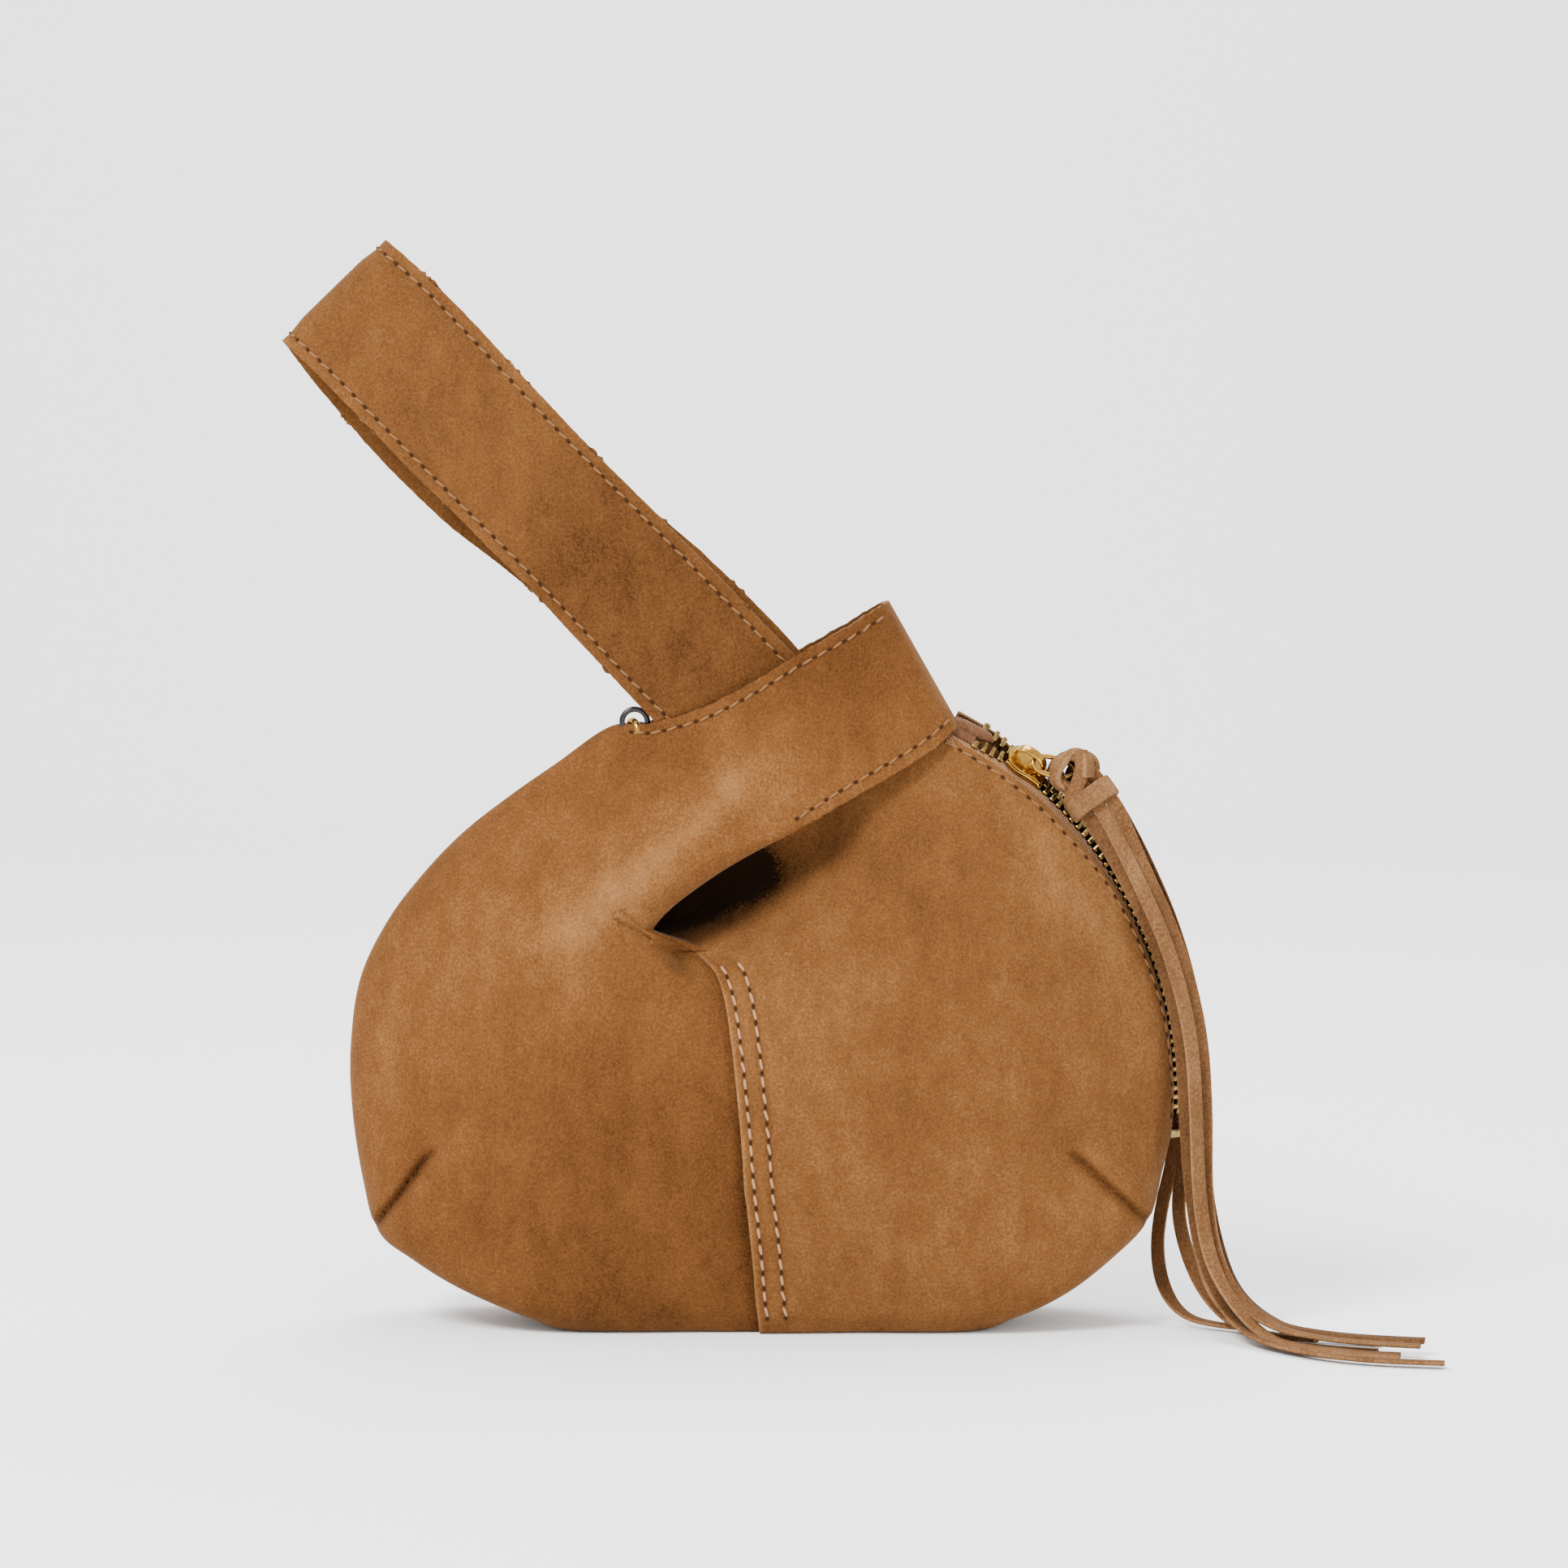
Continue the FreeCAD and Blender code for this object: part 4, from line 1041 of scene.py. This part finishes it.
def add_end_tab():
    """The rolled leather fold at the zip's top end."""
    controls = [at_chain([(along, back, height)], 59.2)[0] for along, back, height in
                ((-6.5, 0.4, -0.2), (-4.0, 0.2, 0.4), (0, 0.3, 0.7), (3.4, 0.8, 0.7), (5.0, 1.0, 0.2))]
    line = smooth_line(controls, 0.6)
    ends = np.linspace(0, 1, len(line))
    scale = 0.5 + 0.5 * np.sin(np.pi * np.clip(ends + 0.08, 0, 1)) ** 0.35
    up = chain_frame(59)[3]
    roll = sweep("end_tab_roll", line, up, superellipse(1.8, 1.5, 16, 2.4), TAB_LEATHER, scale=scale,
                 tone=0.1)
    flap = smooth_line([at_chain([(along, -2.4, 0.5)], 60.6)[0] for along in (-3.5, 0, 3.2)], 0.6)
    lower = sweep("end_tab_flap", flap, up, superellipse(2.2, 0.7, 14, 3), TAB_LEATHER, tone=0.0)
    place_piece(joined("end_tab", [roll, lower]), ["zip_end_tab"], "bag")


def slider_plate(height, thickness):
    """One shield-shaped plate: wide rounded nose, narrower square tail."""
    outline = [(-5.7, 0), (-5.5, 1.7), (-4.7, 3.2), (-3.2, 4.1), (-1.2, 4.25), (0.8, 3.8), (2.6, 3.3),
               (4.4, 3.2), (5.5, 3.15)]
    half = spline(outline, np.linspace(0, len(outline) - 1, 40))
    half = np.concatenate([half, [[5.7, 2.8], [5.75, 0.2]]])
    ring = np.concatenate([half, half[::-1] * np.array([1, -1])])
    count = len(ring)
    low = np.column_stack([ring, np.full(count, height)])
    high = np.column_stack([ring, np.full(count, height + thickness)])
    faces = [tuple(range(count)), tuple(range(2 * count - 1, count - 1, -1))]
    faces += [((i + 1) % count, i, count + i, count + (i + 1) % count) for i in range(count)]
    return np.concatenate([low, high]), faces


def add_slider():
    """Two plates with turned-in flanges, joined at the nose, and the bridge that holds the pull."""
    pieces = []
    out = chain_frame(SLIDER_ANGLE)[3]
    for height, thickness in ((1.45, 1.0), (-2.3, 0.85)):
        points, faces = slider_plate(height, thickness)
        plate = mesh_object("plate", at_chain(points, SLIDER_ANGLE), faces, BRASS)
        add_bevel(plate, 0.3, 3)
        pieces.append(apply_modifiers(plate))
    for side in (-1, 1):
        for height in (1.2, -1.2):
            edge = smooth_line([(-4.4, side * 3.5, height), (-2.6, side * 3.95, height),
                                (-0.6, side * 3.9, height), (2.2, side * 3.25, height),
                                (5.3, side * 3.0, height)], 0.5)
            pieces.append(sweep("flange", at_chain(edge, SLIDER_ANGLE), out,
                                superellipse(0.42, 0.7, 12, 4), BRASS))
    bridge = [(-4.3, 0, 2.0), (-4.2, 0, 4.4), (-3.0, 0, 6.0), (-0.6, 0, 6.6), (2.0, 0, 6.3),
              (3.6, 0, 5.0), (4.0, 0, 2.6)]
    line = at_chain(smooth_line(bridge, 0.4), SLIDER_ANGLE)
    inside = at_chain([(-0.4, 0, 2.0)], SLIDER_ANGLE)[0]
    pieces.append(sweep("bridge", line, line - inside, superellipse(1.35, 0.5, 16, 3.2), BRASS))
    place_piece(joined("slider_body", pieces), ["zip_slider"], "slider")


# ------------------------------------------------------------------ pull ring and tassel

BAIL = np.array([70.6, -3.6, 147.2])
RING_END = np.array([81.2, -3.4, 144.3])
TASSEL_DOWN = unit((0.58, -0.14, -0.80))
TASSEL_RIGHT = unit((-TASSEL_DOWN[2], 0, TASSEL_DOWN[0]))
TASSEL_BEHIND = np.cross(TASSEL_RIGHT, TASSEL_DOWN)
KNOT_HUB = RING_END - TASSEL_DOWN * 0.2
BAND_NEAR, BAND_FAR = 5.4, 11.0
LACE_COLUMN, LACE_ROW = 3.75, 2.3
LACE_HALF_WIDTH, LACE_HALF_THICKNESS = 1.85, 0.62
RING_HALF_WIDTH, RING_WIRE = 2.6, 0.72
BAND_HALF_WIDTH, BAND_HALF_DEPTH = 6.15, 3.95


def pale_edges(lace, rows, base):
    """Pale worn edges along a lace of so many rows, and a darker middle."""
    count = len(lace.data.vertices) // rows
    across = np.abs(np.cos(np.linspace(0, 2 * math.pi, count, endpoint=False)))
    tone = base - 0.04 + 0.30 * smoothstep(across, 0.78, 1.0)
    lace.data.attributes["tone"].data.foreach_set("value", np.tile(tone, rows).astype(np.float32))


def add_pull_ring():
    """A long wire ring from the slider's bridge into the tassel's head."""
    along = unit(RING_END - BAIL)
    side = unit(np.array([0.20, 0.50, 0.85]))
    side = unit(side - along * side.dot(along))
    half_length = np.linalg.norm(RING_END - BAIL) / 2
    line = []
    for turn in np.linspace(0, 2 * math.pi, 64, endpoint=False):
        cosine = math.cos(turn)
        reach = half_length * (1 + math.copysign(abs(cosine) ** 0.75, cosine))
        line.append(BAIL + along * reach + side * RING_HALF_WIDTH * math.sin(turn))
    wire = superellipse(RING_WIRE, RING_WIRE, 12, 2)
    ring = sweep("wire_pull_ring", line, np.cross(along, side), wire, BRASS, closed=True)
    place_piece(ring, ["pull_ring"], "pull")


def in_tassel(right, behind, down, origin=RING_END):
    """A place given by its distances to the right, behind and down along the tassel."""
    return origin + TASSEL_RIGHT * right + TASSEL_BEHIND * behind + TASSEL_DOWN * down


def slot_point(column, row, down):
    """A place in the bundle of laces, some way down from the ring's end."""
    return in_tassel(column * LACE_COLUMN, row * LACE_ROW, down)


def knot_turn(index, phase, size, depth):
    """One fat turn of the knot about the hole that the ring passes through."""
    line = []
    for turn in np.linspace(math.radians(-55), math.radians(235), 46):
        radius = size + 0.65 * math.sin(2.5 * turn + phase)
        behind = depth + 1.5 * math.sin(2 * turn + phase)
        line.append(in_tassel(radius * math.cos(turn), behind, -radius * math.sin(turn), KNOT_HUB))
    strand = sweep("turn", line, np.array(line) - KNOT_HUB, superellipse(1.9, 1.2, 14, 2.8), LACE, tone=0)
    pale_edges(strand, len(line), 0.12 * (1 - index) - 0.04)
    return strand


def knot_strand(name, places, up, half_thickness, tone, half_width=1.9):
    line = smooth_line(places, 0.5)
    section = superellipse(half_width, half_thickness, 14, 3)
    return sweep(name, line, up, section, LACE, tone=tone)


def add_tassel_head():
    """Laces knotted through the ring: fat turns about a hole, and stems into the band."""
    turns = ((0.0, 4.5, -2.0), (1.9, 4.9, 1.8), (3.6, 4.2, 0.2))
    pieces = [knot_turn(index, *turn) for index, turn in enumerate(turns)]
    for column, row, lean in ((-1, -0.8, 0.9), (0, -0.9, -0.6), (1, -0.7, 0.4), (-0.6, 0.8, 0.2),
                              (0.7, 0.9, -0.4)):
        stem = [in_tassel(column * 3.0 + lean, row * 1.9, 1.6, KNOT_HUB), slot_point(column, row, 4.2),
                slot_point(column, row, 7.5)]
        pieces.append(knot_strand("stem", stem, -TASSEL_BEHIND, 0.8, -0.02))
    # The crossing behind the hub is darkened with painted shade, filling the knot's hole.
    behind = [in_tassel(x, 2.2, down, KNOT_HUB)
              for x, down in ((-3.6, 2.4), (-1.2, 0.6), (1.2, -0.8), (3.6, -2.0))]
    pieces.append(knot_strand("crossing", behind, TASSEL_BEHIND, 0.8, -0.4, half_width=2.0))
    over = [in_tassel(*place, KNOT_HUB) for place in (
        (4.6, -1.6, -3.2), (2.2, -3.4, 0.8), (-1.4, -3.7, 3.6), (-4.4, -2.6, 5.4), (-5.4, -0.4, 6.2))]
    pieces.append(knot_strand("wrap", over, TASSEL_RIGHT * 0.1 - TASSEL_BEHIND, 0.85, 0.04))
    place_piece(joined("tassel_knot", pieces), ["tassel_head"], "tassel")


def add_tassel_band():
    """A flat suede strip wrapped round the laces, its end overlapping on the back."""
    middle = in_tassel(0, 0, (BAND_NEAR + BAND_FAR) / 2)
    line = []
    for turn in np.linspace(0, 2 * math.pi, 72, endpoint=False):
        c, s = math.cos(turn), math.sin(turn)
        right = BAND_HALF_WIDTH * math.copysign(abs(c) ** 0.62, c)
        behind = BAND_HALF_DEPTH * math.copysign(abs(s) ** 0.62, s)
        line.append(in_tassel(right, behind, 0.35 * s, middle))
    section = superellipse((BAND_FAR - BAND_NEAR) / 2, 0.55, 16, 5)
    band = sweep("band", line, np.array(line) - middle, section, LACE, closed=True, tone=0.12)
    end = smooth_line([in_tassel(x, y, 0, middle) for x, y in
                       ((-6.9, 1.0), (-6.7, 3.2), (-4.6, 4.75), (-1.5, 4.85), (1.2, 4.8))], 0.5)
    flap = sweep("band_end", end, end - middle, superellipse(2.75, 0.5, 16, 5), LACE, tone=0.08)
    place_piece(joined("tassel_wrap", [band, flap]), ["tassel_band"], "tassel")


# Each lace: its place in the bundle as (column, row), then its route below the band.
LACES = [
    ((-1, -1), [(95.4, -8.0, 116), (103.9, -9.5, 97), (109.1, -10.5, 76), (110.1, -12, 55),
                (111.4, -14, 36), (114.0, -18, 20), (118.0, -25, 9), (124.0, -35, 2.6),
                (133, -46.5, 1.3), (144, -56, 1.3), (157, -61.5, 1.3), (171, -63.5, 1.3)]),
    ((0, -1), [(97.0, -10.2, 118), (105.6, -12.8, 99), (111.3, -14.0, 77), (112.5, -15.6, 55),
               (113.0, -17.8, 36), (115.4, -22, 20), (121.2, -28.6, 9.2), (129.4, -37.2, 1.6),
               (139, -47.5, 1.3), (150, -52, 1.3), (161, -54.5, 1.3)]),
    ((1, -1), [(98.8, -8.4, 120.2), (107.4, -10.2, 102), (113.7, -11.0, 80), (115.4, -12.2, 57.5),
               (115.1, -14.4, 37), (117.0, -18.6, 20.5), (122.2, -25.6, 10.2), (131, -35, 4.4),
               (142, -44.5, 3.7), (154, -50.5, 3.7), (166, -54, 3.7)]),
    ((-1, 0), [(95.0, -5.2, 116.4), (104.1, -6.4, 97), (109.4, -7.4, 76), (110.6, -8.6, 55.5),
               (111.6, -10.4, 36.5), (113.8, -14, 21), (116.8, -20.4, 10.6), (123, -28, 3.2),
               (132.5, -37.6, 1.3), (144, -45.2, 1.3), (156, -48.6, 1.3)]),
    ((1, 0), [(98.6, -5.2, 120.4), (107.0, -6.6, 102), (113.0, -7.6, 80.5), (114.6, -9, 58),
              (114.5, -11, 38), (117.2, -15.0, 21.6), (122.0, -22.4, 10.6), (132, -31, 4.4),
              (144, -39.4, 3.7), (156, -44.6, 3.7), (168, -47.4, 3.7)]),
    ((-1, 1), [(95.0, 1.2, 119), (105.6, 4.2, 99), (111.2, 8, 78), (111.4, 11, 57),
               (108.6, 11.4, 40), (105.4, 8.4, 28), (103.9, 3.6, 18), (105.0, -3, 9),
               (109.4, -9.4, 2.9), (117, -14.4, 1.3), (126, -18.8, 1.3)]),
    ((0, 1), [(98.0, 0.4, 120.6), (107.2, 0.6, 101), (112.5, 3.4, 80), (113.7, 5.2, 59),
              (111.4, 5.4, 42), (109.0, 2.6, 29.5), (111.2, -4.0, 18), (115.8, -12, 8),
              (122.6, -20.6, 1.9), (132, -29, 1.3), (142, -34.6, 1.3)]),
    ((1, 1), [(99.8, -2.6, 121.6), (108.0, -3.0, 103), (113.6, -3.8, 81), (115.4, -5, 59.5),
              (115.2, -7, 40), (117.8, -11.4, 23), (123.0, -18.4, 10.4), (134.0, -26.4, 2.9),
              (146.4, -32.8, 1.3), (158, -36.8, 1.3)]),
]


def lace_line(index):
    """The lace's middle line: a smooth curve that its route's points steer."""
    (column, row), below = LACES[index]
    start = slot_point(column, row, BAND_NEAR)
    out = slot_point(column, row, BAND_FAR + 3)
    route = np.array([start, (start + out) / 2, out] + below, float)
    curve = bpy.data.curves.new("route", "CURVE")
    curve.dimensions = "3D"
    curve.resolution_u = 12
    steer = curve.splines.new("NURBS")
    steer.points.add(len(route) - 1)
    for point, place in zip(steer.points, route * MM):
        point.co = (*place, 1)
    steer.order_u = 3
    steer.use_endpoint_u = True
    holder = bpy.data.objects.new("route", curve)
    bpy.context.scene.collection.objects.link(holder)
    bpy.context.view_layer.update()
    graph = bpy.context.evaluated_depsgraph_get()
    drawn = bpy.data.meshes.new_from_object(holder.evaluated_get(graph))
    line = np.array([v.co for v in drawn.vertices]) / MM
    bpy.data.objects.remove(holder)
    return even_steps(line, 1.1)


# Each lace a little paler or darker, with the back row darker still as painted shade.
LACE_TONES = (-0.14, 0.08, -0.02, 0.04, -0.22, -0.12, -0.16, -0.28)


def lace_facing(line, index):
    """The flat side's direction: forwards where the lace hangs, up where it lies, a little twisted."""
    height = line[:, 2]
    standing = smoothstep(height, 4, 34)
    facing = np.stack([0 * height, -standing, 1.02 - standing], axis=1)
    side = np.cross(tangents(line), facing)
    side /= np.linalg.norm(side, axis=1, keepdims=True)
    steps = np.linspace(0, 1, len(line))
    twist = 0.4 * np.sin(steps * (5 + index % 3) + index * 1.9)
    twist *= smoothstep(steps, 0.04, 0.25) * (1 - 0.8 * smoothstep(steps, 0.75, 0.95))
    return facing * np.cos(twist)[:, None] + side * np.sin(twist)[:, None]


def add_laces():
    """The tassel's laces, each a flat section swept along its route."""
    section = superellipse(LACE_HALF_WIDTH, LACE_HALF_THICKNESS, 18, 4)
    section[:, 1] += 0.12 * (section[:, 0] / LACE_HALF_WIDTH) ** 2
    for index, tone in enumerate(LACE_TONES):
        line = lace_line(index)
        name = "lace_%d" % (index + 1)
        lace = sweep(name, line, lace_facing(line, index), section, LACE, tone=tone)
        pale_edges(lace, len(line), tone)
        place_piece(lace, ["tassel_" + name], "tassel")
        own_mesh(lace)


# ------------------------------------------------------------------ side rings

KEY_CENTRE = np.array([-32.7, -2.0, 157.35])
RING_MAJOR = 3.3
RING_WIRE_RADIUS = 0.75


def circle(centre, axis):
    """The middle line of a side ring."""
    axis = unit(axis)
    first = unit(np.cross(axis, (0.3, 1, 0.2)))
    second = np.cross(axis, first)
    turns = np.linspace(0, 2 * math.pi, 40, endpoint=False)[:, None]
    return centre + RING_MAJOR * (first * np.cos(turns) + second * np.sin(turns))


def add_side_rings():
    """The dark ring, the brass ring that it hangs on, and their leather tab."""
    through = unit((-0.4, 0.84, 0.36))
    down = unit(np.array([0, 0, -1]) + through * through[2])
    section = superellipse(RING_WIRE_RADIUS, RING_WIRE_RADIUS, 14, 2)
    dark = sweep("dark_ring", circle(KEY_CENTRE, DEPTH), DEPTH, section, DARK_METAL, closed=True)
    place_piece(dark, ["key_ring"], "key_ring")
    centre = KEY_CENTRE + down * RING_MAJOR
    axis = np.cross(through, down)
    brass = sweep("brass_link", circle(centre, axis), axis, section * 1.2, BRASS, closed=True)
    place_piece(brass, ["brass_ring"], "bag")
    low = centre + down * RING_MAJOR
    fold = [low + np.array([x, 0, z])
            for x, z in ((-2.6, -3), (-2, -0.6), (0, 0.3), (2, -0.6), (2.6, -3))]
    tab = sweep("tab", smooth_line(fold, 0.5), -DEPTH, superellipse(0.9, 2.0, 14, 4), SUEDE_DARK, tone=0)
    place_piece(tab, ["ring_tab"], "bag")


# ------------------------------------------------------------------ floor and order

def add_floor():
    """A pale floor that curves up behind."""
    radius = 500
    bend = [(1200 + radius * math.sin(a), radius - radius * math.cos(a))
            for a in np.linspace(0, math.pi / 2, 16)]
    profile = [(-12000, 0)] + bend + [(1700, 3000)]
    points = [(x, y, z - 0.05) for x in (-9000, 9000) for y, z in profile]
    faces = grid_faces(2, len(profile))
    mesh_object("floor", points, faces, plain("floor", (0.95, 0.95, 0.95), 0.9))


add_camera()
add_laces()
add_lights()
add_panels()
add_lining()
add_bag_stitches()
add_strap()
add_teeth()
add_stops()
add_tapes()
add_end_tab()
add_slider()
add_pull_ring()
add_tassel_head()
add_tassel_band()
add_side_rings()
add_floor()
